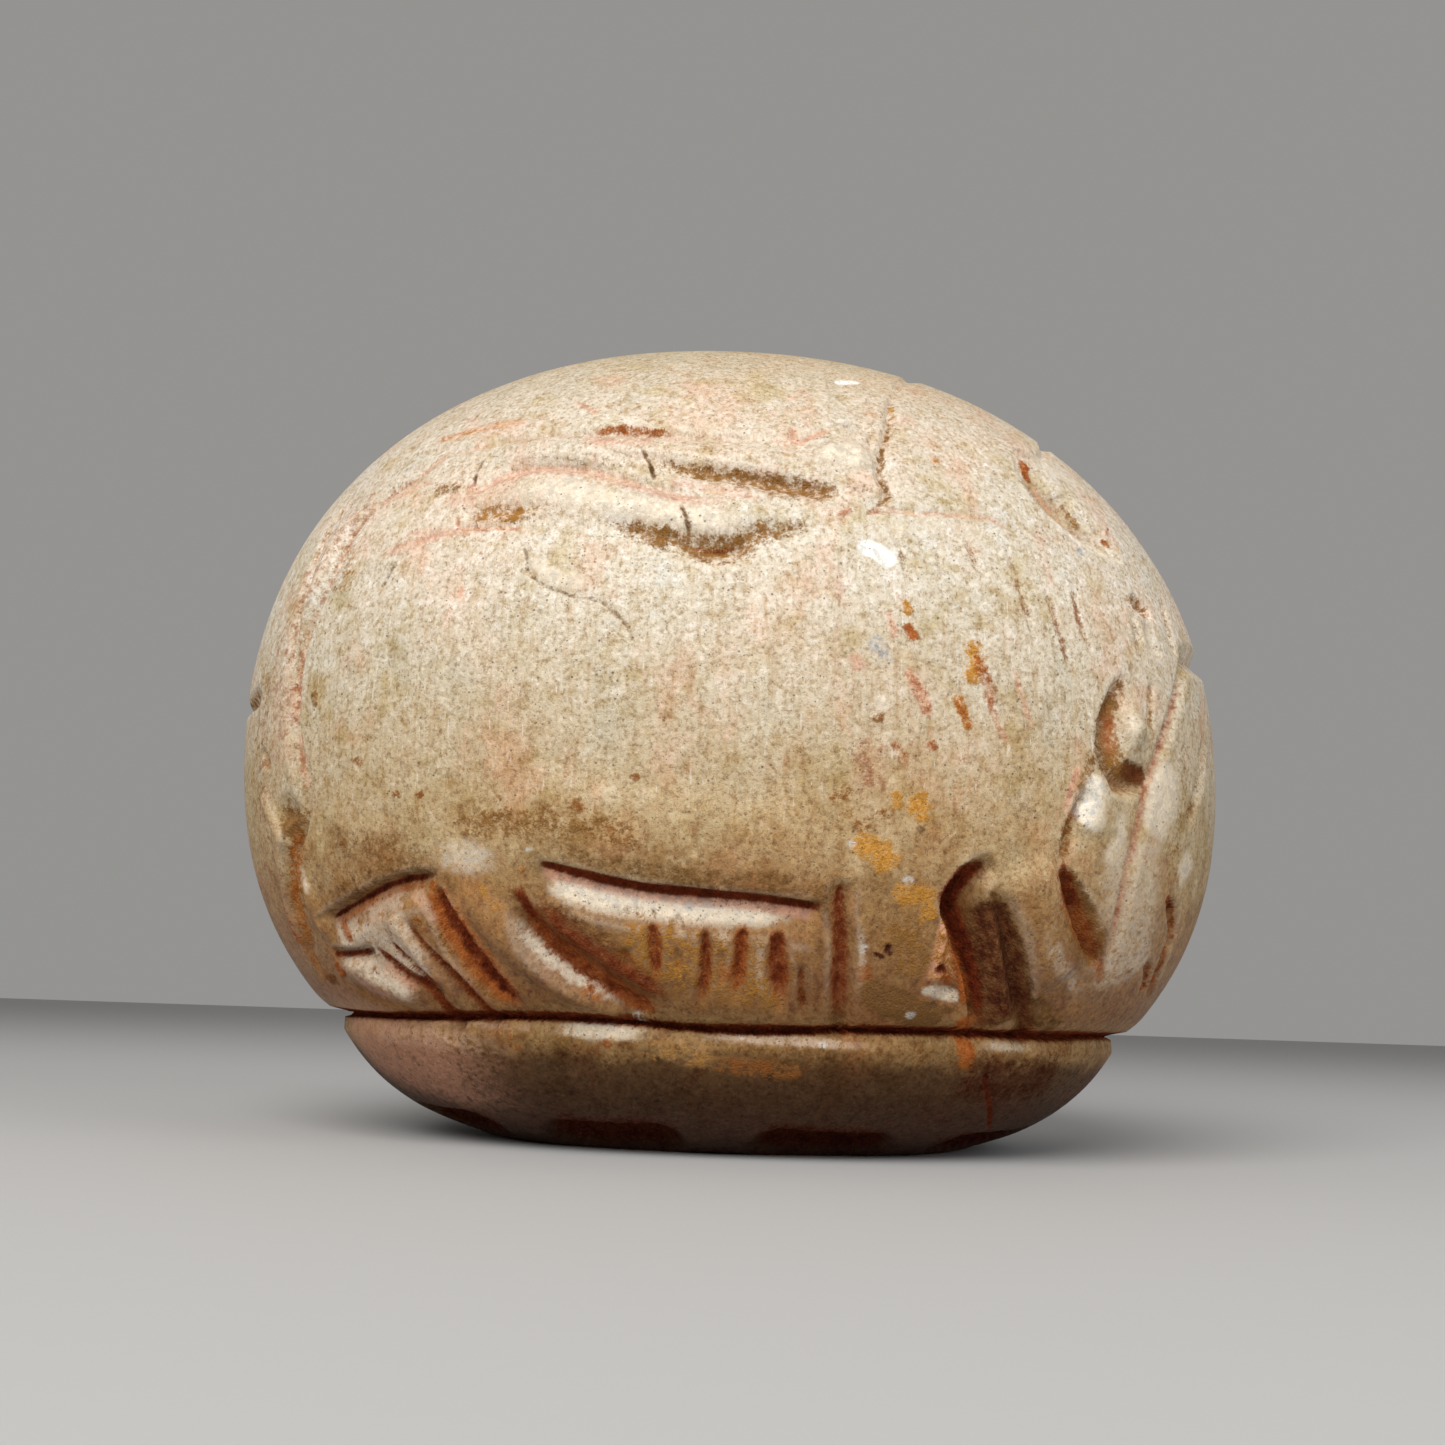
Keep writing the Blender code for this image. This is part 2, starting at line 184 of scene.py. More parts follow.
# Photographer's place in metres, and the lens. The camera is level with the base and looks up a little.
CAMERA_PLACE = (-0.00050, -0.09188, 0.007156)
CAMERA_PITCH = 0.2017
CAMERA_ROLL = 0.0332
LENS = 36.05
SENSOR_WIDTH = 36
NEAREST_SEEN = 0.005

# Round lights as (place in metres, width in metres, power in watts, colour), and the grey world.
KEY_LIGHT = ((-0.09, -0.30, 0.265), 0.32, 1.75, (1.0, 0.98, 0.95))
FILL_LIGHT = ((0.30, -0.20, 0.16), 0.25, 0.38, (0.95, 0.97, 1.0))
WORLD_COLOUR = (0.66, 0.65, 0.63, 1)
WORLD_STRENGTH = 0.45

# Half the floor's width in metres.
FLOOR_REACH = 3.0


class Stroke:
    """One stroke of the carving, a ridge where its depth is negative, or a stain where its depth is 0.

    Depth and widths are in units, one number or several spread along the path; left and right are the
    widths on each side of the path, as someone who looks at the bead and goes along the path has them.
    Fade is the share of the path over which it starts and ends, one number or two. Power 1 is a V and 2 a
    round hollow. Both is true for what the far side repeats. Stains are amounts of the colours that fill it,
    painted shade and painted highlight among them.
    """

    def __init__(self, path, depth, left, right=None, fade=0.15, power=1.0, both=True, **stains):
        self.depth = depth
        self.left = left
        self.right = left if right is None else right
        self.fade = np.broadcast_to(fade, 2)
        self.power = power
        self.both = both
        self.stains = stains
        traced = smooth_path([globe(around, up) for around, up in path])
        self.traced = traced * body_radius(traced)[:, None]
        self.points = self.seen_from_camera()
        self.reach = UNIT * max(np.max(self.left), np.max(self.right))
        narrow = min(np.mean(self.left), np.mean(self.right))
        self.edge = UNIT * max(FINE_EDGE, EDGE_SHARE * narrow + EDGE_EXTRA)
        both_paths = np.vstack([self.points, self.traced])
        self.middle = (both_paths.max(0) + both_paths.min(0)) / 2
        self.size = np.linalg.norm(both_paths - self.middle, axis=1).max()

    def seen_from_camera(self):
        """Points of the path moved so that the floor of the stroke shows nearly where it was traced."""
        share = np.linspace(0, 1, len(self.traced))
        below = unit_vectors(slide(self.traced, spread(self.depth, share).clip(0) * UNIT))
        move = below * body_radius(below)[:, None] - self.traced
        to_left = (np.cross(np.gradient(self.traced, axis=0), move) * self.traced).sum(1) > 0
        near_width = np.where(to_left, spread(self.right, share), spread(self.left, share)) * UNIT
        length = np.maximum(np.linalg.norm(move, axis=1), LEAST_MOVE)
        moved = unit_vectors(self.traced + move * (NEAR_SHARE * near_width / length).clip(0, 1)[:, None])
        return moved * body_radius(moved)[:, None]

    def near(self, points, margin):
        """Which of the points may lie within the margin of this stroke."""
        close = np.linalg.norm(points - self.middle, axis=1) < self.size + margin
        return np.flatnonzero(close)

    def measure(self, points, path):
        """Distance of each point to a path, the depth, width and strength of the stroke there."""
        starts = path[:-1]
        runs = np.diff(path, axis=0)
        offsets = points[:, None] - starts
        along = np.einsum("nsk,sk->ns", offsets, runs) / (runs**2).sum(1)
        along = along.clip(0, 1)
        offsets -= along[:, :, None] * runs
        distances = np.linalg.norm(offsets, axis=2)
        nearest = distances.argmin(1)
        each = np.arange(len(points))
        side = (np.cross(runs[nearest], offsets[each, nearest]) * points).sum(1)
        share = (nearest + along[each, nearest]) / len(runs)
        width = np.where(side > 0, spread(self.left, share), spread(self.right, share))
        strength = np.ones(len(points))
        if self.fade[0]:
            strength = strength * np.minimum(1, share / self.fade[0])
        if self.fade[1]:
            strength = strength * np.minimum(1, (1 - share) / self.fade[1])
        return distances[each, nearest], spread(self.depth, share) * strength * UNIT, width * UNIT, strength


def spread(value, share):
    """A number, or numbers spread evenly along a path, read at each share of the path."""
    values = np.atleast_1d(value)
    return np.interp(share, np.linspace(0, 1, len(values)), values)


def unit_vectors(vectors):
    return vectors / np.linalg.norm(vectors, axis=-1, keepdims=True)


def globe(around, up):
    """Direction from the body's centre to a place given in degrees around and up."""
    flat = math.cos(math.radians(up))
    x = LENGTH / 2 * flat * math.cos(math.radians(around))
    y = -WIDTH / 2 * flat * math.sin(math.radians(around))
    reach = HEIGHT - EQUATOR if up > 0 else EQUATOR
    return unit_vectors(np.array([[x, y, reach * math.sin(math.radians(up))]]))[0]


def under(along, across):
    """Globe angles of a place on the flat spot, in shares of the half-length and half-width."""
    return math.degrees(math.atan2(across, along)), -math.degrees(math.atan2(1, math.hypot(along, across)))


def smooth_path(points, steps=4):
    """Directions along a smooth curve through the given ones."""
    points = np.array(points)
    ends = np.vstack([2 * points[:1] - points[1:2], points, 2 * points[-1:] - points[-2:-1]])
    curve = []
    for before, start, end, after in zip(ends, ends[1:], ends[2:], ends[3:]):
        for t in np.arange(steps) / steps:
            curve.append(0.5 * (2 * start + (end - before) * t
                                + (2 * before - 5 * start + 4 * end - after) * t**2
                                + (3 * start - before - 3 * end + after) * t**3))
    return unit_vectors(np.array(curve + [points[-1]]))


def superellipsoid(directions, share, rise, corner):
    """Radius of a superellipsoid about the body's centre, as long and wide as a share of the bead."""
    x = np.abs(directions[:, 0] + LEAN * directions[:, 2]) / (share * LENGTH / 2)
    y = np.abs(directions[:, 1]) / (share * WIDTH / 2)
    plan = (x**PLAN_CORNER + y**PLAN_CORNER) ** (1 / PLAN_CORNER)
    return (plan**corner + (np.abs(directions[:, 2]) / rise) ** corner) ** (-1 / corner)


def above_groove(directions, radius):
    """Height over the base groove of a surface point."""
    return EQUATOR + radius * directions[:, 2] - GROOVE_HEIGHT


def body_radius(directions):
    """Radius of the uncarved body: dome, flank, then the base cap with its flat spot."""
    dome = superellipsoid(directions, 1, HEIGHT - EQUATOR, DOME_CORNER)
    flank = superellipsoid(directions, 1, FLANK_DEPTH, FLANK_CORNER)
    flat_share = FLAT_LENGTH / (CAP_SHARE * LENGTH)
    cap_depth = EQUATOR / (1 - flat_share**CAP_CORNER) ** (1 / CAP_CORNER)
    cap = superellipsoid(directions, CAP_SHARE, cap_depth, CAP_CORNER)
    radius = np.where(directions[:, 2] > 0, dome, flank)
    radius = np.where(above_groove(directions, radius) > 0, radius, cap)
    down = np.maximum(-directions[:, 2], LEAST_DOWN)
    return np.minimum(radius, EQUATOR / down)


def cut_base_groove(points):
    """Points moved level into the body by the groove round the base, the rolled flank and the bevelled lip.

    It returns the depth of that cut too.
    """
    turn = np.arctan2(points[:, 1], points[:, 0])
    waver = GROOVE_WAVER * (np.sin(7 * turn) + np.sin(4 * turn + 1))
    height = EQUATOR + points[:, 2] - GROOVE_HEIGHT + waver
    thinned = 1 + GROOVE_VARIES * np.sin(11 * turn + 2) * np.sin(3 * turn)
    slot = GROOVE_DEPTH * (1 - (2 * height * thinned / GROOVE_WIDTH) ** 2).clip(0)
    roll = ROLL_DEPTH * (1 - height / ROLL_HEIGHT).clip(0, 1) ** 2
    bevel = BEVEL_DEPTH * (1 + height / BEVEL_HEIGHT).clip(0, 1)
    inset = slot + np.where(height > 0, roll, bevel)
    level = points * (1, 1, 0)
    level /= np.maximum(np.linalg.norm(level, axis=1), UNIT)[:, None]
    return points - level * inset[:, None], inset


def slide(points, depths):
    """Points moved along the photographer's line of sight until they lie that deep below the surface."""
    sight = unit_vectors(points - np.array(CAMERA_PLACE) + (0, 0, EQUATOR))
    facing = -(sight * unit_vectors(points)).sum(1)
    for _ in range(SIGHT_STEPS):
        missing = depths - body_radius(unit_vectors(points)) + np.linalg.norm(points, axis=1)
        points = points + sight * (missing / np.maximum(facing, LEAST_FACING))[:, None]
    return points


def shift(path, around, up):
    """The path moved by degrees around and up."""
    return [(place[0] + around, place[1] + up) for place in path]


def stain(path, width, **more):
    """Colour along a path, on the side that is seen, with no depth."""
    return Stroke(path, 0, width, both=False, **more)


def scuff_and_highlight(path, width, amount):
    """Pale patch, partly wear and partly a painted highlight, soft at both ends."""
    return stain(path, width, fade=0.3, pale=amount)


def ridge(path, height, width, **more):
    """Rounded ridge along a path."""
    return Stroke(path, -height, width, power=2, **more)


def spot(around, up, size, depth=0, **stains):
    """Round chip or blot on the side that is seen."""
    path = [(around + 0.3 * size, up), (around - 0.3 * size, up)]
    return Stroke(path, depth, size, fade=0, power=2, both=False, **stains)


def hind_leg():
    """Folded leg under the tail: the line over it, its fanned hatching, the foot and the groove behind, with
    painted shade over the line and in the cuts, and painted highlights on the foot and the ridges.
    """
    top = [(137.9, -27.3), (134.3, -26.1), (128.6, -24), (124.1, -22.6), (119.3, -22)]
    small = [(140.8, -31.8), (136.4, -31.9), (131.8, -31.5)]
    first = [(131.9, -30.7), (128.5, -34.5), (125.4, -37.4), (125.1, -41.9)]
    thin = [(128.9, -30.1), (126.5, -33.7), (124.2, -37.1)]
    second = [(125.4, -27.5), (123.9, -31), (121.3, -34.9), (119.5, -38.7), (119.1, -40.6)]
    groove = [(120.2, -23.3), (119.1, -27.5), (117.7, -31.2), (116.1, -34.7), (113.5, -39.3)]
    return [
        Stroke(top, 0.8, 0.28, 1.8, umber=0.15),
        stain(shift(top, 0, -0.35), (0.15, 0.24, 0.2), soot=0.5, earth=1.2),
        stain(shift(top, 0, -1.1), 0.4, rust=0.55, rose=0.3),
        stain(shift(top, -0.5, 1.6), (0.9, 1.5, 1.4), dusk=0.45),
        Stroke([(135.8, -27.5), (135.7, -30.9)], 0.3, 0.4, rust=0.8, earth=0.3),
        Stroke(small, 0.8, 0.28, 0.8),
        stain(shift(small, 0, -0.3), 0.28, earth=1, soot=0.4),
        stain([(142, -33.4), (141, -35.5)], 0.5, rust=0.8, earth=0.4),
        ridge([(140.2, -33.3), (135.2, -35.2), (131.1, -37.2), (128.9, -38.9)], 0.45, 0.95),
        scuff_and_highlight([(140.4, -33.5), (135.2, -35.2), (131.1, -37.2), (128.6, -39)], 1, 0.55),
        stain([(140.8, -35), (136, -37), (131.5, -39.4)], 0.6, fade=0.3, rose=0.4),
        stain([(141.2, -36.6), (136.8, -39), (130.9, -40.6)], 0.6, umber=0.6),
        Stroke(first, (0.4, 0.7, 1, 0.9), (0.3, 0.4, 0.6), (0.5, 0.8, 1.1), fade=(0.25, 0)),
        stain(first, (0.25, 0.5, 0.7), earth=0.8, rust=0.6),
        stain([(132, -33.2), (129.7, -35), (127.7, -37.3)], 0.65, rose=0.45, rust=0.3),
        Stroke(thin, (0.2, 0.4, 0.5), 0.25, 0.4, fade=(0.3, 0)),
        stain(thin, (0.16, 0.26), earth=0.8, rust=0.3),
        ridge([(128.2, -27.2), (126.5, -29.6), (124.7, -33), (123.5, -36.3)], 0.25, 0.6),
        stain([(129.6, -26.2), (127.6, -28.6), (125.2, -32), (124, -34.5)], 0.9, fade=(0.3, 0.4),
              pale=0.45),
        stain([(134.5, -28), (130, -27), (126, -25), (122.5, -24.8)], 1.1, fade=0.3, pale=0.4, rose=0.25),
        Stroke(second, (0.2, 0.6, 0.9, 0.9), (0.3, 0.45), (0.4, 0.9), fade=(0.3, 0)),
        stain(second, (0.15, 0.3, 0.45, 0.5), earth=0.75, rust=0.5),
        stain([(122.6, -27.3), (120.8, -31), (118.7, -35.3), (116.4, -39.6)], 0.55, umber=0.45),
        stain([(124.4, -27.4), (123.2, -30)], 0.6, umber=0.4, rust=0.3),
        stain([(123.8, -24.2), (122.3, -26), (121, -28.5)], 0.75, rose=0.4, pale=0.3),
        Stroke(groove, (0.9, 1.6, 1.7, 1.1), 0.4, (0.9, 1.5, 1.3), rust=0.45),
        stain(shift(groove, 0.7, 0), (0.7, 1.2, 1.2, 0.7), fade=0.1, rust=0.95),
        stain(shift(groove, 0.1, 0), (0.3, 0.55, 0.65, 0.45), earth=0.9),
        stain([(139, -30), (132, -32), (124, -31)], 3.2, fade=0.1, pale=0.45, rose=0.15),
        stain(shift(groove[1:], 0.3, 0), (0.1, 0.25, 0.25), soot=0.5),
        stain([(121, -23), (119.9, -26)], 0.5, ochre=0.3, rust=0.7),
        stain([(121.5, -19.2), (116.5, -20.3), (111.7, -21)], (0.9, 1.5, 1), fade=0.35, pale=0.5),
    ]


def middle_leg():
    """Smooth slanting band with a pale rim, partly a painted highlight, and the groove behind it that runs
    down to the base, with painted shade on its slope.
    """
    groove = [(110.9, -24.1), (109.2, -29.2), (106.6, -32.3), (103.6, -35.2), (99.5, -38.4), (97.1, -39.6)]
    slope = [(109.6, -25), (107.4, -28.8), (104.4, -31.8), (100.4, -34.7), (95.6, -38.2)]
    rim = [(113.3, -26.1), (110.7, -30.2), (107.7, -33.5), (104.3, -36.1), (100.7, -39)]
    return [
        ridge([(116.5, -24), (113.6, -30), (109, -34.8), (103, -38.8)], 0.45, 1.1),
        Stroke(groove, (0.8, 1.4, 1.5, 1.3, 0.8, 0.5), (0.7, 1.6, 1.9, 1.6, 0.9), (0.6, 0.55), umber=0.4),
        stain(slope, (0.6, 1.4, 1.7, 1.5, 0.8), earth=0.45, dusk=1.1),
        stain(shift(slope, -0.4, 0), (0.3, 0.6, 0.7, 0.5), earth=0.7),
        stain(groove, (0.45, 0.75, 0.75, 0.6), rust=0.8, earth=0.5),
        stain([(111.4, -23.8), (110.4, -26.2), (109.5, -28)], 0.4, earth=0.9),
        stain(shift(rim, -0.4, -0.4), (0.6, 0.8, 0.8, 0.5), fade=0.25, pale=0.75),
        stain([(106.2, -36.2), (103.6, -38)], 0.45, rust=0.6, ochre=0.4),
        stain([(115.8, -22.6), (114.4, -25.4), (112.6, -28.2)], 0.6, ochre=0.3, umber=0.3),
    ]


def wing_edge():
    """Undercut edge of the wing case, with the ledge and the upright bristles below it, painted shade in and
    above the undercut, and a painted highlight on the ledge.
    """
    cut = [(108.7, -20.8), (104.5, -22.1), (98.6, -23.6), (92.7, -24.2), (86.8, -24.6), (80.6, -25.3)]
    ledge = [(108.6, -23), (105, -24.4), (99.6, -25.7), (93.7, -26.4), (87.6, -26.5), (82.4, -26.4)]
    last = [(78.9, -21.7), (79, -25.2), (78.2, -29.4), (77.6, -34.3), (76.2, -40.1)]
    strokes = [
        Stroke(cut, (0.6, 1, 1, 0.8), (0.2, 0.26, 0.22), 2.2, fade=(0.08, 0.04)),
        # The ledge below the cut is painted pale and chalky: a painted highlight where it faces the light.
        stain(ledge, (0.8, 1.2, 1.3, 1.2, 0.8), fade=(0.12, 0.15), pale=0.85),
        stain(shift(ledge, 0, 0.3), (0.4, 0.6, 0.6, 0.4), fade=(0.2, 0.3), chalk=0.3),
        stain(shift(cut, 0, -1.15), 0.5, fade=0.05, rose=0.8),
        stain(shift(cut, 0, -0.3), (0.2, 0.3, 0.32, 0.28, 0.22), fade=(0.04, 0.02), earth=1.3, soot=0.2),
        stain([(108.6, -19), (102.4, -20.9), (94.6, -22.6), (86.9, -23), (81, -23.6)], (0.5, 0.8, 0.9, 1.2),
              dusk=0.45, umber=0.2),
        ridge([(112, -15), (96, -18.5), (80, -19)], 0.35, 2.6),
        stain([(103, -30), (96, -32), (88, -34), (81, -35)], 2.8, umber=0.5, ochre=0.3),
        scuff_and_highlight([(90.3, -27.5), (90.2, -32)], 0.45, 0.4),
        scuff_and_highlight([(86.4, -27.5), (86.3, -34), (85.5, -38)], 0.35, 0.45),
        scuff_and_highlight([(95.2, -27.5), (94.2, -30.5)], 0.4, 0.4),
        stain([(89.6, -32.5), (90, -36)], 0.7, fade=0.3, rust=0.5, ochre=0.2),
        Stroke(last, (0.5, 0.6, 0.7, 0.7, 0.5), 0.75, fade=(0.1, 0), dusk=0.5),
        stain(last, (0.3, 0.5, 0.7, 0.6), earth=0.6, rust=0.5),
        stain([(78.6, -28.5), (78.2, -31.5)], 0.4, rust=0.7),
        stain([(77, -26.2), (75.7, -30.4), (74.2, -38.7)], 0.35, fade=0.4, pale=0.35),
        stain([(80.8, -22.5), (80.6, -26.5)], 0.7, dusk=0.6),
    ]
    for path, depth, width, amounts in (
        ([(97.5, -27.3), (97.3, -31.2), (97.4, -35.8)], 0.4, (0.4, 0.5, 0.4), {"earth": 0.5, "rust": 0.7}),
        ([(92.1, -27.6), (92, -33.4), (92.9, -38.8)], 0.45, (0.35, 0.5, 0.45), {"earth": 0.6, "rust": 0.6}),
        ([(88.4, -27.5), (88.4, -32), (88.8, -37.8)], 0.5, (0.45, 0.5, 0.6), {"earth": 0.5, "rust": 0.9}),
        ([(84.8, -27.8), (84.7, -30.4), (84.2, -34), (83.3, -39)], 0.6, (0.35, 0.65, 0.8, 0.35),
         {"earth": 0.7, "rust": 0.7}),
        ([(100.4, -31), (100.2, -34)], 0.3, 0.4, {"rust": 0.4, "dusk": 0.4}),
        ([(95, -31), (94.8, -34.5)], 0.2, 0.3, {"dusk": 0.4, "rust": 0.3}),
        ([(82.1, -32.1), (80.8, -39.6)], 0.3, 0.35, {"earth": 0.5}),
        ([(90.4, -31), (90.6, -36)], 0.15, 0.35, {"ochre": 0.3, "umber": 0.4}),
    ):
        strokes.append(Stroke(path, depth, width, fade=(0.2, 0.3), **amounts))
    return strokes


def front_leg():
    """Blocked knee with its sunk facet, the deep groove beside it, and the round foreleg, with painted shade
    on the groove's bank and step, below the facet and under the foreleg, and a painted highlight along the
    facet's lower edge.
    """
    floor = [(63.8, -18.8), (65.9, -19.9), (67.2, -21.7), (67.8, -23.9), (66.5, -26.3), (64.6, -29.5),
             (62.6, -32.5), (60.2, -36.7), (57.4, -41.3)]
    bank = [(64.4, -22.9), (62.3, -27.1), (60, -31), (57.4, -35.3), (54.5, -38.6)]
    step = [(64.2, -21.6), (61.2, -25.6), (58.5, -30.3), (55, -35.3), (50, -40.1)]
    taper = [(55.9, -18.5), (54.2, -21.9), (51.4, -25.3), (48.1, -28.5), (45.8, -30.5)]
    return [
        Stroke([(66.8, -27.6), (65.9, -31.2), (65.2, -34.6)], (0.3, 0.6, 0.8), (0.5, 1.1, 1.5),
               (0.4, 0.9, 1.2), fade=0),
        stain([(67.6, -26.6), (66.6, -31), (65.9, -33.6)], (0.4, 0.9, 1.3), fade=(0, 0.1), rose=0.9,
              ochre=0.55, rust=0.3),
        stain([(68.4, -34.8), (65.5, -35.1), (62.7, -35.6)], (0.3, 0.6, 0.5), fade=0.15, pale=0.65),
        stain([(68, -36.5), (65.5, -37), (62.9, -37.4)], 0.35, dusk=1),
        stain([(68.5, -27), (68.9, -31), (69, -35)], 0.2, dusk=0.5, pale=0.2),
        spot(66.6, -32.1, 0.36, depth=0.5, soot=0.5, earth=1.2),
        spot(65.4, -33.2, 0.5, rust=0.7, rose=0.4),
        Stroke(floor, (0.5, 1.2, 1.9, 2.2, 2.2, 2.2, 2, 1.7, 0.9), (0.5, 1.3, 2.3, 2.3, 1.8, 1.4, 1.2, 0.8),
               0.8, fade=(0.06, 0.08), umber=0.3),
        stain(bank, (1.3, 2, 2.2, 1.7), fade=0.1, earth=0.4, soot=0.4, dusk=1.5),
        stain(floor, (0.35, 0.6, 0.7, 0.65, 0.6, 0.5, 0.4, 0.3), soot=0.4, earth=1.2),
        stain([(68.1, -24.3), (65.9, -28.6), (63.9, -32.6), (61.7, -36.8)], (0.3, 0.5, 0.5, 0.45), rust=1.1,
              ochre=0.35),
        stain([(61.3, -37.6), (58.8, -41.6), (56.7, -45.9)], 0.75, fade=(0.1, 0.25), rust=0.9, ochre=0.5),
        Stroke(step, (0.6, 0.9, 1.1, 1.1, 0.7), 0.5, 1, fade=(0.15, 0), dusk=0.4),
        stain(shift(step, -0.3, 0), (0.3, 0.6, 0.8, 0.7), fade=(0.15, 0), soot=0.35, earth=0.5, dusk=1.2),
        ridge([(60.1, -18.5), (57.5, -23.4), (54.6, -28.1), (50.3, -33)], 0.7, 1.7),
        stain([(54, -34), (49, -37.5), (44.5, -38.5)], 1, dusk=0.6),
        scuff_and_highlight([(56.8, -22.7), (53, -29.2), (48, -32.6), (44.5, -35.4)], 0.9, 0.3),
        Stroke(taper, (0.8, 1.3, 1.4, 1.1, 0.6), (0.4, 1, 1.4, 0.7, 0.3), 0.45, dusk=0.5),
        stain(shift(taper, -0.9, 0), (0.6, 1.3, 1.6, 1.1), fade=(0.05, 0.3), dusk=0.9, umber=0.6),
        stain(shift(taper, -0.3, 0), (0.5, 0.9, 0.8, 0.5), fade=(0.05, 0.4), rust=0.7),
        stain(shift(taper[:3], -0.5, 0), (0.4, 0.8, 0.7), fade=(0, 0.4), earth=0.7),
        stain(shift(taper[1:], -1.2, 0), (0.5, 0.9, 0.6), fade=0.3, earth=0.4),
        stain([(50.4, -26.2), (47.6, -29.2)], 0.6, dusk=0.9, earth=0.4),
        stain([(46.1, -29), (43.2, -32.5)], 0.5, rust=0.5, dusk=0.4),
        stain([(78.4, -17.2), (76.9, -18.1), (75, -19.3), (73.5, -20.9)], (0.7, 0.85, 1.1, 0.9),
              fade=(0.15, 0.2), ochre=0.85),
        stain([(74, -22.8), (71.6, -23.7), (68.7, -23.8)], (0.7, 1, 0.7), ochre=0.6, umber=0.3),
        stain([(70.6, -22.9), (69, -26.8)], (0.9, 0.7), ochre=0.6, umber=0.4),
        stain([(75.6, -34.8), (70, -37.2), (63.2, -38.9)], (1, 1.3, 0.8), dusk=0.9, umber=0.4),
        stain([(75.5, -32), (74.5, -34.5)], 0.6, rust=0.5),
        stain([(74, -26), (70.5, -30), (70, -34)], 1.7, umber=0.5, ochre=0.15),
    ]


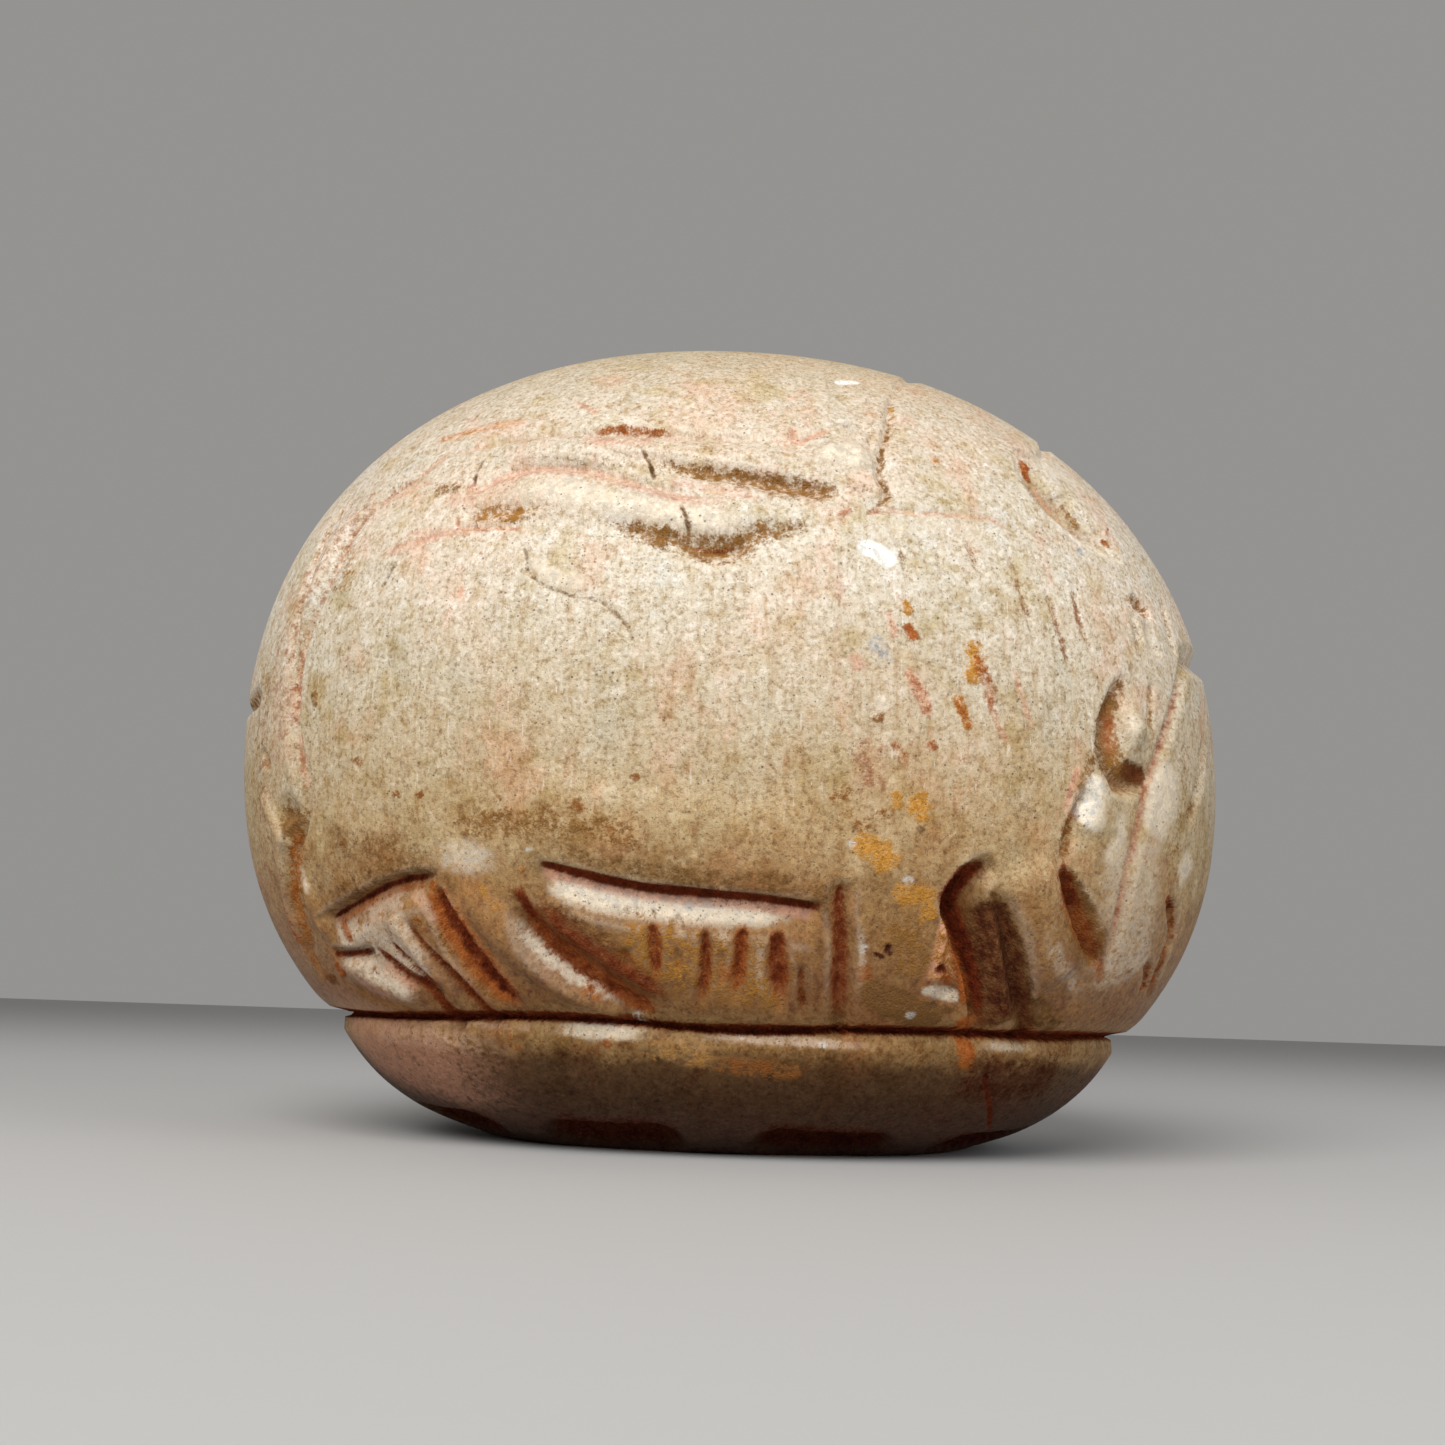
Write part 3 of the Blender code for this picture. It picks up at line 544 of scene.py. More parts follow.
def head():
    """Eye in its recess, the cheek, and the plates of the head, which meet in front of it, with painted shade
    in the recess and painted highlights on the eye and the cheek.
    """
    divide = [(33.1, 10.5), (37.4, 5.3), (41.5, -0.8), (44.5, -7.1), (45.7, -13), (46.2, -18.7),
              (45.7, -24.9), (44.5, -30.7)]
    wall = [(47.7, 5.8), (50.3, 2.6), (51.8, -0.9), (51.8, -5), (50.1, -8), (46.7, -7.5), (44, -6.2)]
    return [
        Stroke(wall, (0.6, 1.2, 1.5, 1.5, 1.4, 1.2, 0.7), (0.9, 1.7, 1.8, 1.6, 1.3), 0.5, umber=0.35),
        stain([(49.1, 4.5), (50.6, 0.5), (50.6, -2.6), (49.4, -5.6), (47.5, -6.6)], (0.5, 0.9, 1, 0.9, 0.7),
              umber=0.9, dusk=0.3, ochre=0.2),
        stain([(50.2, 2.6), (50.6, -1.6), (50.1, -4.9)], 0.8, fade=0.3, rust=0.5, rose=0.4),
        stain([(48.7, -5.2), (46.6, -6.2), (44.5, -6.1)], 0.8, dusk=1.1, earth=0.5),
        stain([(48.2, 5.4), (48.8, 3.2)], 0.7, dusk=0.4, umber=0.5),
        ridge([(47.1, 3), (46.7, -0.2), (46.2, -3.6)], 0.6, 0.95, fade=0.45),
        stain([(47, 1.8), (46.6, -1.5)], 0.5, fade=0.3, pale=0.6, ochre=0.15),
        Stroke([(42.9, 5.9), (43.7, 2.9), (43.8, 0.1)], 0.3, 0.35, umber=0.5),
        stain([(52.1, -2.8), (53.6, -7.1), (54.9, -10.4)], 0.6, dusk=0.35, umber=0.4),
        Stroke([(54.1, -9.1), (55.5, -13.1), (55.9, -18)], 0.5, 0.5, umber=0.6, rust=0.3),
        ridge([(52.3, -6), (52.4, -14.5)], 0.2, 1.9),
        # The cheek's facet: pale stone with a painted highlight over it.
        stain([(52.4, -6.6), (52.6, -9.2), (53.2, -11.6), (53.9, -13.4)], (0.7, 1.2, 1.7, 1.5), fade=0.1,
              pale=1, chalk=0.35),
        stain([(54.3, -5.6), (55.6, -9.2), (56, -12.8)], 0.35, rose=0.6, umber=0.3),
        scuff_and_highlight([(48.6, -9.6), (48.1, -13.3), (49, -16.5), (49.3, -19.3)], 0.8, 0.55),
        Stroke([(0, 13.5), (16, 13), (32.8, 10.6)], 0.7, 1, fade=0),
        Stroke(divide, (0.7, 0.5, 0.5, 0.45, 0.4), 0.6, fade=(0, 0.1), umber=0.25),
        stain(divide, (0.4, 0.5, 0.5, 0.4), rust=0.3, rose=0.5),
        stain([(42, -3.2), (40.8, -7.3), (41.7, -10.6), (43.1, -13.9)], (1.6, 2.4, 2.2, 1.4), pale=0.65),
        stain([(32.3, -14.2), (33.4, -16.8), (35.1, -18)], 1.3, pale=0.6),
        stain([(46, -13), (44, -21), (41, -28), (37, -34)], 4, fade=(0.1, 0.2), pale=0.42, ochre=0.12),
        stain([(37.5, 4), (36, -4), (37, -12), (38.5, -22)], 1.1, umber=0.25, dusk=0.1),
        Stroke([(29.3, 1.3), (32.5, -6), (35.7, -11.1)], 0.4, 0.6, umber=0.4),
        Stroke([(36.5, -20.7), (32.3, -24.7), (30.8, -29.4), (28.3, -33.6)], 1, 0.65, rust=0.6, earth=0.4),
        stain([(36.8, -20.4), (34.4, -22.6)], 0.4, earth=0.9),
        Stroke([(35.8, -28.9), (33.4, -30.8), (31.9, -33.2)], 0.7, 0.5, earth=0.5, rust=0.5),
        Stroke([(42.8, 15.6), (41.5, 14.8)], 0.8, 0.6, fade=0, umber=0.9, dusk=0.5),
        Stroke([(44.2, 14.2), (44, 12.2), (43.7, 10.3)], 0.3, 0.3, dusk=0.4),
        Stroke([(41.8, 13.5), (41.4, 9)], 0.2, 0.6, power=2, pale=0.4),
        Stroke([(34.8, 17.8), (35.8, 13.7), (36, 10.5)], 0.3, 0.5, umber=0.3),
        Stroke([(0, 13), (0, 4)], 0.6, 0.8, fade=(0, 0.5)),
    ]


def pronotum():
    """Lines round the front shield of the back, and the hollow at its shoulder, with pale patches that are
    partly painted highlights along the hollow's rim.
    """
    rim = [(53.5, 34), (54.1, 29.2), (52.9, 26), (50.6, 23.7), (46.9, 22), (42.2, 21.3)]
    junction = [(64.2, 47.9), (68.8, 42.1), (71.5, 35.8), (73.5, 31), (74.4, 27.2), (73.7, 25), (75, 23.2),
                (77.6, 20.6)]
    arch = [(77.8, 20.7), (75, 22.5), (71.1, 22.4), (66.4, 22.9), (61.9, 22.8), (58.3, 20.6)]
    strokes = [
        Stroke([(0, 73), (40, 63), (64.2, 47.9)], 0.3, 0.6, fade=(0, 0.3)),
        Stroke(junction, (0.15, 0.3, 0.35, 0.4, 0.4, 0.35), (0.4, 0.5), (0.4, 0.6), fade=(0, 0.2),
               umber=0.25),
        stain(junction[1:], (0.15, 0.3, 0.35, 0.3), umber=0.65),
        stain([(68.6, 42), (70.6, 38)], (0.15, 0.4), ochre=0.5, umber=0.5),
        Stroke(arch, 0.18, 0.35, rose=0.4),
        stain([(76.5, 18.5), (72, 20.8), (66.5, 21), (62, 20)], 0.9, pale=0.35),
        Stroke(rim, (0.9, 1.6, 1.8, 1.6, 1.2, 0.8), (2, 3.2, 3.4, 2.8, 1.6), 0.3, power=1.5, umber=0.12),
        stain([(51.4, 34.8), (53.1, 32.1), (53.7, 29.7)], (0.6, 0.4, 0.25), rust=1, ochre=0.3),
        stain([(53.2, 30.1), (53.2, 27.7), (52, 25.7)], 0.2, rose=0.8),
        stain(shift(rim[2:], 0.5, -0.5), 0.25, pale=0.7),
        stain([(49.2, 28.4), (49.2, 25.9), (48.3, 24)], (0.35, 0.55, 0.5), umber=0.75),
        stain([(49.5, 34), (44.5, 34.5), (40, 33)], 0.9, pale=0.5),
        spot(44.3, 23.4, 0.42, rust=0.9),
        stain([(40.6, 27), (43.4, 24.4)], 0.16, rust=0.6),
        Stroke([(51.4, 35.9), (44.3, 37.8), (34, 44), (0, 50)], 0.35, 0.5, fade=0),
        stain([(66.9, 31.8), (66.5, 30.6)], 0.35, ochre=0.4, rose=0.5),
    ]
    for path, amount in (
        ([(53.4, 16.7), (53.5, 11.8), (52.5, 7.2)], 0.65),
        ([(57.7, 16), (56.7, 10.5), (55.4, 4.1)], 0.55),
        ([(61.4, 20.5), (60.9, 15.9), (60.4, 11.9), (59.4, 6)], 0.45),
        ([(66.2, 21.1), (65.6, 17.3), (64.7, 14.1)], 0.4),
        ([(69.8, 19.5), (69.2, 13.5)], 0.3),
        ([(74, 20.4), (72.8, 12.2)], 0.35),
        ([(44.6, 12.5), (44.4, 9.5)], 0.3),
        ([(66.5, 9), (65.4, 4), (62.6, -1.5)], 0.35),
    ):
        strokes.append(Stroke(path, 0.14, 0.3, fade=(0.4, 0.3), both=False, umber=amount, rose=0.5 * amount))
    return strokes


def wing_cases():
    """Line down the middle of the back, and the folds and veins along its sides, with painted shade under the
    folds and lobes and painted highlights on the raised lobes.
    """
    fold = [(132.6, 33), (126, 31.5), (119, 32.1), (113.8, 32.7), (107.1, 32.6), (98.8, 32.4), (94.9, 32.3),
            (89.7, 32.1), (84, 32.2)]
    upper = [(106, 27.6), (101.2, 28.1), (96.9, 26.8), (93.1, 26.2), (87.6, 25.3), (83.6, 24.5), (78.7, 24.3)]
    vein = [(123.8, 24.3), (119.7, 24.3), (116.9, 25.9), (112.5, 27), (106.5, 26.3), (100.7, 24.3),
            (95.2, 22.8), (88.2, 23)]
    lower = [(106.5, 20.6), (102.3, 18.5), (98, 17.2), (93.8, 15.8), (90.5, 15.8), (88.1, 18), (84.2, 18.9),
             (80.5, 20.3)]
    recess = [(120.2, 20.5), (117.1, 21), (113.5, 20.7), (109.7, 21.4)]
    tip = [(120.9, 21.3), (120.5, 20.2), (119.1, 19.1), (115, 18.9), (110.3, 18.4)]
    return [
        Stroke([(180, 10), (180, 45), (180, 80), (0, 74)], 0.7, 0.6, fade=(0.2, 0)),
        Stroke(fold, (0.2, 0.3, 0.35, 0.45, 0.35, 0.25), 0.45, rose=0.3),
        Stroke([(107.2, 33), (103.4, 33.3), (98.8, 32.7)], 0.4, 0.3, 0.5, fade=0.2),
        stain([(108.6, 33.2), (103.4, 33.6), (97.4, 32.7)], (0.3, 0.7, 0.6, 0.25), rust=0.6, umber=0.5,
              ochre=0.25),
        stain([(107, 32.9), (105.6, 33.1)], 0.22, rust=0.7),
        stain([(100.4, 33.1), (99, 32.7)], 0.22, rust=0.7),
        stain([(109.6, 32), (104.9, 31.5), (99.2, 31.8)], 0.5, rose=0.45),
        Stroke(upper, (0.05, 0.2, 0.3, 0.4, 0.5, 0.5), (0.35, 0.45), (0.5, 0.8, 1.2), fade=0.1),
        stain(shift(upper[1:], 0, 0.5), (0.4, 0.7, 0.9, 1.1, 0.9), fade=(0.25, 0.1), umber=0.7, ochre=0.15),
        stain(shift(upper[3:], 0, 0.9), 0.4, fade=(0.4, 0.2), dusk=0.45),
        Stroke(vein, (0.1, 0.3, 0.35, 0.3, 0.15), (0.4, 0.55, 0.4), rose=0.5),
        stain(vein, 0.2, rose=0.5),
        stain([(124, 23.6), (118.8, 23)], (0.8, 0.9), rose=0.4),
        stain([(121.3, 24.7), (119.7, 25.4)], 0.4, rust=0.3, rose=0.6),
        stain([(98.5, 25.6), (93, 24.4), (86.2, 23.4)], 0.6, rose=0.4),
        ridge([(119.6, 30.4), (111.2, 30.2), (101.5, 29.6), (90.1, 28.8), (80.5, 28.4)], 0.4, 1.2),
        stain([(110.2, 29.5), (101.5, 28.7), (94.1, 28)], 0.25, dusk=0.25, umber=0.2),
        stain([(95.2, 27.7), (88.1, 27), (80.5, 26.3)], 0.4, dusk=0.2, umber=0.3),
        stain([(118.3, 28.5), (113.2, 29.1), (105.9, 28.5)], 0.22, dusk=0.3, umber=0.2),
        stain([(112.1, 27.7), (101.1, 27.5)], 0.18, dusk=0.3, umber=0.2),
        stain([(120.5, 29.6), (120.6, 27.2), (120.1, 25.2)], 0.16, dusk=0.6),
        stain([(126, 25.4), (121.7, 25.5)], 0.8, umber=0.5),
        ridge([(117.5, 23.2), (109.3, 23.6), (102.5, 21.7), (95, 19.9), (86, 21.4)], 0.45, 1.8),
        stain([(117.6, 23.3), (109.3, 23.9), (102.5, 22.1), (95, 20.2), (88.4, 20.4)],
              (0.7, 1.1, 1.2, 1.1, 0.7), pale=0.6),
        Stroke(lower, (0.2, 0.35, 0.45, 0.55, 0.55, 0.4, 0.3, 0.2), (0.6, 0.9, 0.9, 0.6),
               (0.6, 1, 1.1, 0.6)),
        stain(shift(lower, 0, 0.6), (0.5, 1, 1.1, 1.2, 1, 0.5), fade=0.25, umber=0.7, ochre=0.15),
        stain(shift(lower[2:6], 0, 0.9), 0.45, fade=0.3, dusk=0.5, umber=0.5),
        stain([(95, 16.4), (92, 16), (89.8, 16.4)], 0.3, earth=0.4, rust=0.4),
        Stroke(recess, 0.35, (0.8, 0.9), 0.4),
        stain(recess, (0.6, 0.8, 0.6), fade=0.3, umber=0.55, ochre=0.3),
        Stroke(tip, 0.15, 0.22, both=False, rose=0.5, umber=0.4),
        stain([(130.6, 16.8), (125.8, 17.7), (122, 18.7), (117.3, 18.8)], (0.5, 0.55, 0.5, 0.3), rose=0.5),
        stain([(127.8, 19.2), (120, 19.2)], 0.5, rose=0.35, pale=0.3),
        stain([(132.6, 34.5), (128, 35.1), (122.2, 36), (117.4, 36)], 0.6, rose=0.5, ochre=0.3),
        stain([(127.6, 37.7), (128.3, 39.9)], 0.18, umber=0.5),
        stain([(113.1, 39.8), (110.3, 38.3), (108.1, 36.1)], 0.3, rose=0.5, rust=0.2),
        Stroke([(78.3, 35.1), (75.7, 36.3), (74.1, 34.5), (75.3, 31.3)], 0.25, 0.3, umber=0.3),
        ridge([(81.5, 30), (77, 31.2), (76.5, 28.1)], 0.35, 0.9, pale=0.8),
        stain([(78.6, 26.2), (76.1, 25.2)], 0.6, dusk=0.35, umber=0.3),
        stain([(79.7, 21.2), (78.1, 22.7)], 0.3, rose=0.5, umber=0.5),
        Stroke([(83.9, 36.2), (83.6, 32), (81.5, 33.5), (78.6, 35.3)], 0.15, (0.25, 0.35), both=False,
               rose=0.6),
        stain([(132.3, 30), (129.7, 31.5)], 0.3, soot=0.15, pale=0.2),
        stain([(138.4, 29.9), (132.3, 30), (129.7, 31.5), (126.5, 34)], 0.35, dusk=0.25),
        stain([(130.8, 25.7), (129.4, 27.6), (126.1, 32)], 0.3, rose=0.5, umber=0.2),
        stain([(133.7, 24.2), (130.9, 25.6), (125.7, 27.1)], 0.35, rose=0.45),
        stain([(134, 22), (130, 22)], 1.3, pale=0.35),
    ]


def tail():
    """Folded rim of the wing cases round the tail, its hollows, and the notch across the end, with painted
    shade in the notch and hollows and painted highlights on the folded rim.
    """
    fold = [(126.1, 29), (131.7, 26.5), (135.9, 22.1), (136.9, 15.5), (139.5, 6.1), (139, -3.9),
            (136.8, -10.5), (139.2, -17.4), (143, -22.4), (146.5, -30), (147.4, -36.7)]
    outer = [(141, 29), (143.8, 24.6), (143.5, 20.9), (142.6, 15.3), (142, 8), (141.2, 1)]
    pocket = [(138.4, -14.2), (141.1, -18.6), (143.3, -22.4), (145, -26.9), (145.1, -32.4)]
    return [
        stain([(134, 30), (141, 21), (144, 10), (143, -2), (142, -12)], 2.6, rose=0.3, umber=0.25),
        stain([(150, 12), (150, 0), (149, -12), (151, -26), (150, -36)], 3, pale=0.2, umber=0.3, rose=0.2),
        Stroke(fold, (0.3, 0.5, 0.7, 0.8, 0.7, 0.6), (0.5, 0.6), (0.7, 1.1, 1), fade=(0.1, 0.05),
               umber=0.3),
        stain(fold[:6], (0.3, 0.45, 0.4), umber=0.35, rose=0.4),
        stain([(140, 6.6), (139.9, 0.8), (139.3, -5.8)], (0.6, 0.9, 0.6), fade=0.4, rust=0.35, rose=0.4),
        stain([(138.8, -3), (137.9, -7.5), (136.9, -11.5)], 0.4, rose=0.5, rust=0.25),
        Stroke([(138.2, -13.4), (141.2, -14.1), (144.6, -15.1)], 0.6, (0.5, 0.6), (1.2, 1.5),
               fade=(0.4, 0.3), dusk=0.4, umber=0.4),
        stain([(138.6, -14.2), (141.2, -15.2), (145, -15.8)], 0.9, dusk=0.7, umber=0.5),
        Stroke(pocket, (0.5, 0.8, 0.8, 0.7, 0.4), 0.9, 1.2, umber=0.5),
        stain(pocket, (0.9, 1.1, 1, 0.8), umber=0.6, rust=0.45, ochre=0.3),
        ridge([(138, -16.8), (141, -21.2), (141, -23.8), (140.3, -27), (139.5, -30.3)], 0.3, 0.7,
              both=False),
        scuff_and_highlight([(141, -19.8), (141.2, -22.4), (140.9, -25)], 0.6, 0.55),
        ridge([(148.5, -10.1), (146.1, -14.3), (143.9, -18.4)], 0.3, 0.5, both=False, pale=0.4),
        stain([(147.4, -35.7), (143.6, -35.9)], 0.5, dusk=0.8, earth=0.4),
        stain([(148, -25), (149, -31), (144, -36)], 1.2, rust=0.35, umber=0.4),
        Stroke(outer, (0.2, 0.35, 0.4, 0.3), 0.5, umber=0.35, rose=0.2),
        ridge([(139.2, 25), (139.7, 20.1), (139.9, 15.5), (140.8, 9.9)], 0.3, 0.8),
        scuff_and_highlight([(138.9, 24), (140.5, 18.1), (141, 12.5)], 1.2, 0.15),
        Stroke([(148.4, -4.7), (145.6, -7.7)], 0.3, 0.5, umber=0.5, rose=0.3),
        Stroke([(149.7, 2.3), (180, 2)], 0.7, 0.5, 1, fade=(0.1, 0), umber=0.7),
        stain([(136.6, 1.6), (135.8, -0.7)], 0.35, umber=0.8, dusk=0.4),
        stain([(131.8, 5.1), (130.6, 2.6)], 0.3, dusk=0.4),
        stain([(137, 20), (134.5, 16), (135, 12)], 0.9, ochre=0.2, umber=0.3),
    ]


def rim_scoops():
    """Round hollows along the rim of the base, with earth and near-black painted shade in them."""
    strokes = []
    for scoop in range(RIM_SCOOPS):
        around = 360 / RIM_SCOOPS * scoop
        if around <= 180:
            path = [(around - SCOOP_HALF_TURN, SCOOP_UP), (around + SCOOP_HALF_TURN, SCOOP_UP)]
            strokes.append(Stroke(path, SCOOP_DEPTH, SCOOP_WIDTH, fade=0, power=2,
                                  dusk=0.3, earth=0.5, soot=0.75))
    return strokes


def seal_face():
    """Sunk design of the flat spot: an oval border, and rows of short strokes each side of a plain band."""
    flat_share = FLAT_LENGTH / LENGTH
    rim = BORDER_SHARE * flat_share
    border = [under(rim * math.cos(turn), rim * math.sin(turn)) for turn in np.linspace(0, math.pi, 9)]
    half_along, half_across = SEAL_STROKE
    paths = [border]
    for across, count in SEAL_ROWS:
        for along in (np.arange(count) - (count - 1) / 2) * SEAL_STEP:
            paths.append([under((along - half_along) * flat_share, (across - half_across) * flat_share),
                          under((along + half_along) * flat_share, (across + half_across) * flat_share)])
    return [Stroke(path, SEAL_DEPTH, SEAL_WIDTH, fade=0, earth=0.6) for path in paths]


def base_lip():
    """Pale edge of the lip under the groove, partly worn and partly a painted highlight, its earthy patches,
    and a near-black patch below, partly painted shade, on the side that is seen.
    """
    edge = [(135.5, -41.9), (122.8, -42), (112.8, -42.2), (105, -42.6), (96.4, -42.8), (87.3, -43),
            (77.8, -43), (68.2, -43)]
    return [
        stain(edge[:3], (0.3, 0.45, 0.4), rose=0.25, pale=0.25),
        stain(edge[2:5], (0.5, 0.8, 0.6), fade=(0.3, 0.4), pale=0.7),
        stain(edge[4:], (0.4, 0.5, 0.4), fade=0.3, pale=0.45, rose=0.3),
        scuff_and_highlight([(57.2, -42), (52, -42.1), (43.7, -41.6)], 0.5, 0.4),
        stain([(102.8, -44.6), (95, -45.2), (88.2, -45.8)], (1, 1.3), fade=0.3, ochre=0.3, pale=0.2),
        stain([(92, -46.2), (85, -46.8), (78, -46.6)], (0.7, 0.9, 0.7), umber=0.5, rust=0.35),
        stain([(118, -43), (116.5, -45.5)], 0.5, rust=0.4, umber=0.4),
        stain([(104.8, -43.4), (104, -44.6)], 0.4, rust=0.6),
        stain([(148, -45), (132, -48), (112, -50)], 5, fade=(0, 0.5), rose=0.48),
        stain([(145, -43.2), (130, -44), (114, -44.8)], 1.2, fade=(0.1, 0.4), rose=0.2, pale=0.3),
        stain([(58, -45.5), (48, -46.5), (38, -45)], 2.6, fade=0.1, soot=0.5),
    ]


def wear_and_shade():
    """Cracks, chips, spots and patches of the side that is seen; some patches are painted shade, and some
    pale ones are partly painted highlights.
    """
    strokes = [
        Stroke([(113, 17.8), (111.5, 15.7), (110.9, 13.4), (108.9, 11.6), (105.7, 10.2), (103.2, 9.7),
                (100.3, 6.8), (98.7, 2.7)], 0.08, 0.18, both=False, dusk=0.5, rose=0.15),
        stain([(111, 15.2), (108, 12.8), (104.4, 11.8)], 0.7, pale=0.6),
        Stroke([(101.6, 30.5), (100.1, 27.9), (99.2, 25.2)], 0.1, 0.18, both=False, dusk=0.8),
        Stroke([(96.3, 22.4), (95.2, 19.5), (95, 17.3)], 0.1, 0.18, both=False, dusk=0.8),
        Stroke([(54.3, -45.2), (50.4, -48.7), (40.2, -55.2)], 0.2, 0.25, both=False, earth=0.8, soot=0.4),
        stain([(126.8, 16.4), (128.3, 12.4)], 0.22, dusk=0.5),
        stain([(117.8, 12.1), (118, 10.4)], 0.2, rose=0.7, umber=0.3),
        Stroke([(77, 17.3), (76, 17), (75, 16.1)], 0.12, 0.62, fade=0, power=4, both=False, chalk=1.6),
        Stroke([(75, 47), (72.2, 47.6)], 0.1, 0.34, fade=0, power=4, both=False, chalk=1.4),
        stain([(73.8, 11.1), (72.9, 9.6)], 0.5, ochre=0.6),
        stain([(73.5, 8.6), (73, 7.5), (72.6, 6.5)], 0.42, rust=0.9, umber=0.5),
        stain([(75.3, 10.1), (74.6, 6.4)], 0.4, rose=0.5, umber=0.3),
        stain([(73.7, 4), (72.9, 2.1), (71.9, 0.2), (71.3, -2.7)], (0.45, 0.6, 0.45), rose=0.5, rust=0.45),
        stain([(71.3, -4.9), (70.8, -6.3)], 0.45, rust=0.6),
        stain([(66.8, 7.4), (66.5, 5), (67.2, 2)], (0.5, 0.85, 0.6), ochre=0.75),
        stain([(66.4, 6.3), (65.9, 4.1), (65.1, 1.8), (64.7, -0.7)], (0.4, 0.55, 0.35), rust=0.6),
        stain([(68.7, 1.2), (68, -0.8), (67.2, -3.5)], 0.42, ochre=0.65, rust=0.5),
        stain([(74.4, -11.2), (74, -13.8)], 0.4, ochre=0.7),
        stain([(72.8, -11.7), (71.9, -13.2), (72.4, -14.9)], 0.9, ochre=0.8),
        spot(71.6, -15.6, 0.3, soot=0.7),
        stain([(77, 7.2), (76.2, 5.2), (75.1, 3.3)], 0.7, slate=0.45),
        stain([(76.2, 0.5), (75.6, -1.8)], 0.4, pale=0.7),
        stain([(75, -5.2), (74.1, -6.6), (73.3, -8.7)], 0.4, rust=0.45, umber=0.4),
        stain([(78.9, 5), (77.9, 2.6)], 0.6, rose=0.5),
        stain([(76.3, -4.7), (77.2, -8.5), (76.3, -12.6)], 1.4, rose=0.3, umber=0.3),
        stain([(79.5, 18.1), (80.2, 6), (80.5, -0.7)], 0.5, dusk=0.2, rose=0.25),
        stain([(62.5, 5.2), (61.6, 1.6), (60.2, -3)], 0.3, rose=0.45, umber=0.3),
        stain([(65.6, 1.7), (64.3, -1.9), (62.9, -5)], 0.35, rose=0.4, umber=0.35),
        spot(50, 20.9, 0.35, slate=0.8),
        stain([(119, -17), (112, -16.2), (104.5, -16.5), (96, -19)], (0.9, 1.4, 1), umber=0.45, dusk=0.2),
        stain([(78, -6), (77.4, -12)], (0.5, 0.9, 0.6), dusk=0.3, rust=0.2),
        stain([(135, -17), (128, -19), (122, -18.5)], 1.4, dusk=0.4, umber=0.3),
        stain([(131.8, 5.1), (130.6, 2.6)], 0.35, dusk=0.4, rose=0.3),
    ]
    for around, up, size in ((104.5, -14.4, 0.55), (101.4, -17, 0.5), (112.5, -13.4, 0.3), (110.6, -22, 0.35),
                             (99, -11, 0.3), (125.6, -20, 0.5), (132.2, -18, 0.4), (124, -12.7, 0.35),
                             (121, -12.8, 0.35), (128.8, -8.3, 0.4), (79.3, -11.9, 0.5), (75.7, -14.1, 0.45),
                             (80.2, -12.9, 0.35), (79, -14.6, 0.35), (77.4, -15.8, 0.5), (76.4, -2.6, 0.4)):
        strokes.append(spot(around, up, 1.2 * size, umber=0.5, rust=0.25))
    for around, up, size in ((78.2, -18, 0.33), (72.3, -21.7, 0.4), (75.6, -30.2, 0.35), (68.1, -38.3, 0.36),
                             (100, -40.4, 0.45), (87.5, -43, 0.3), (77.5, -43.2, 0.35), (109.5, -19.5, 0.28),
                             (124.8, 10.2, 0.4)):
        strokes.append(spot(around, up, size, chalk=0.4, slate=0.2))
    for around, up in ((73.2, -30.3), (72.7, -30.6), (73.5, -31), (73, -29.8), (74.1, -30.8)):
        strokes.append(spot(around, up, 0.2, soot=0.9))
    return strokes


def mirrored(directions):
    """Directions to the same places on the side that is seen, where the strokes are drawn."""
    return directions * np.where(directions[:, 1:2] > 0, (1, -1, 1), (1, 1, 1))


def on_far_side(directions):
    """Which directions are on the side that the photographer doesn't see."""
    return directions[:, 1] > FAR_START


def carve(directions, strokes):
    """Depth below the body at each direction, less where there is a ridge, and the mesh size it needs."""
    shown = mirrored(directions)
    radius = body_radius(shown)
    points = shown * radius[:, None]
    far_side = on_far_side(directions)
    depth = np.zeros(len(points))
    raised = np.zeros(len(points))
    edge = np.full(len(points), PLAIN_EDGE * UNIT)
    for stroke in strokes:
        near = stroke.near(points, stroke.reach + PLAIN_EDGE * UNIT / EDGE_GROWTH)
        if not stroke.both:
            near = near[~far_side[near]]
        if not len(near):
            continue
        distance, cut_depth, width, _ = stroke.measure(points[near], stroke.points)
        hollow = cut_depth * (1 - (distance / width).clip(0, 1) ** stroke.power)
        depth[near] = np.maximum(depth[near], hollow)
        raised[near] = np.maximum(raised[near], -hollow)
        size = stroke.edge + EDGE_GROWTH * (distance - width).clip(0)
        edge[near] = np.minimum(edge[near], size)
    depth -= raised
    from_groove = np.abs(above_groove(shown, radius - depth)) - GROOVE_WIDTH / 2 - MARGIN
    edge = np.minimum(edge, UNIT * GROOVE_EDGE + EDGE_GROWTH * from_groove.clip(0))
    return depth, edge * np.where(far_side, FAR_EDGE, 1)


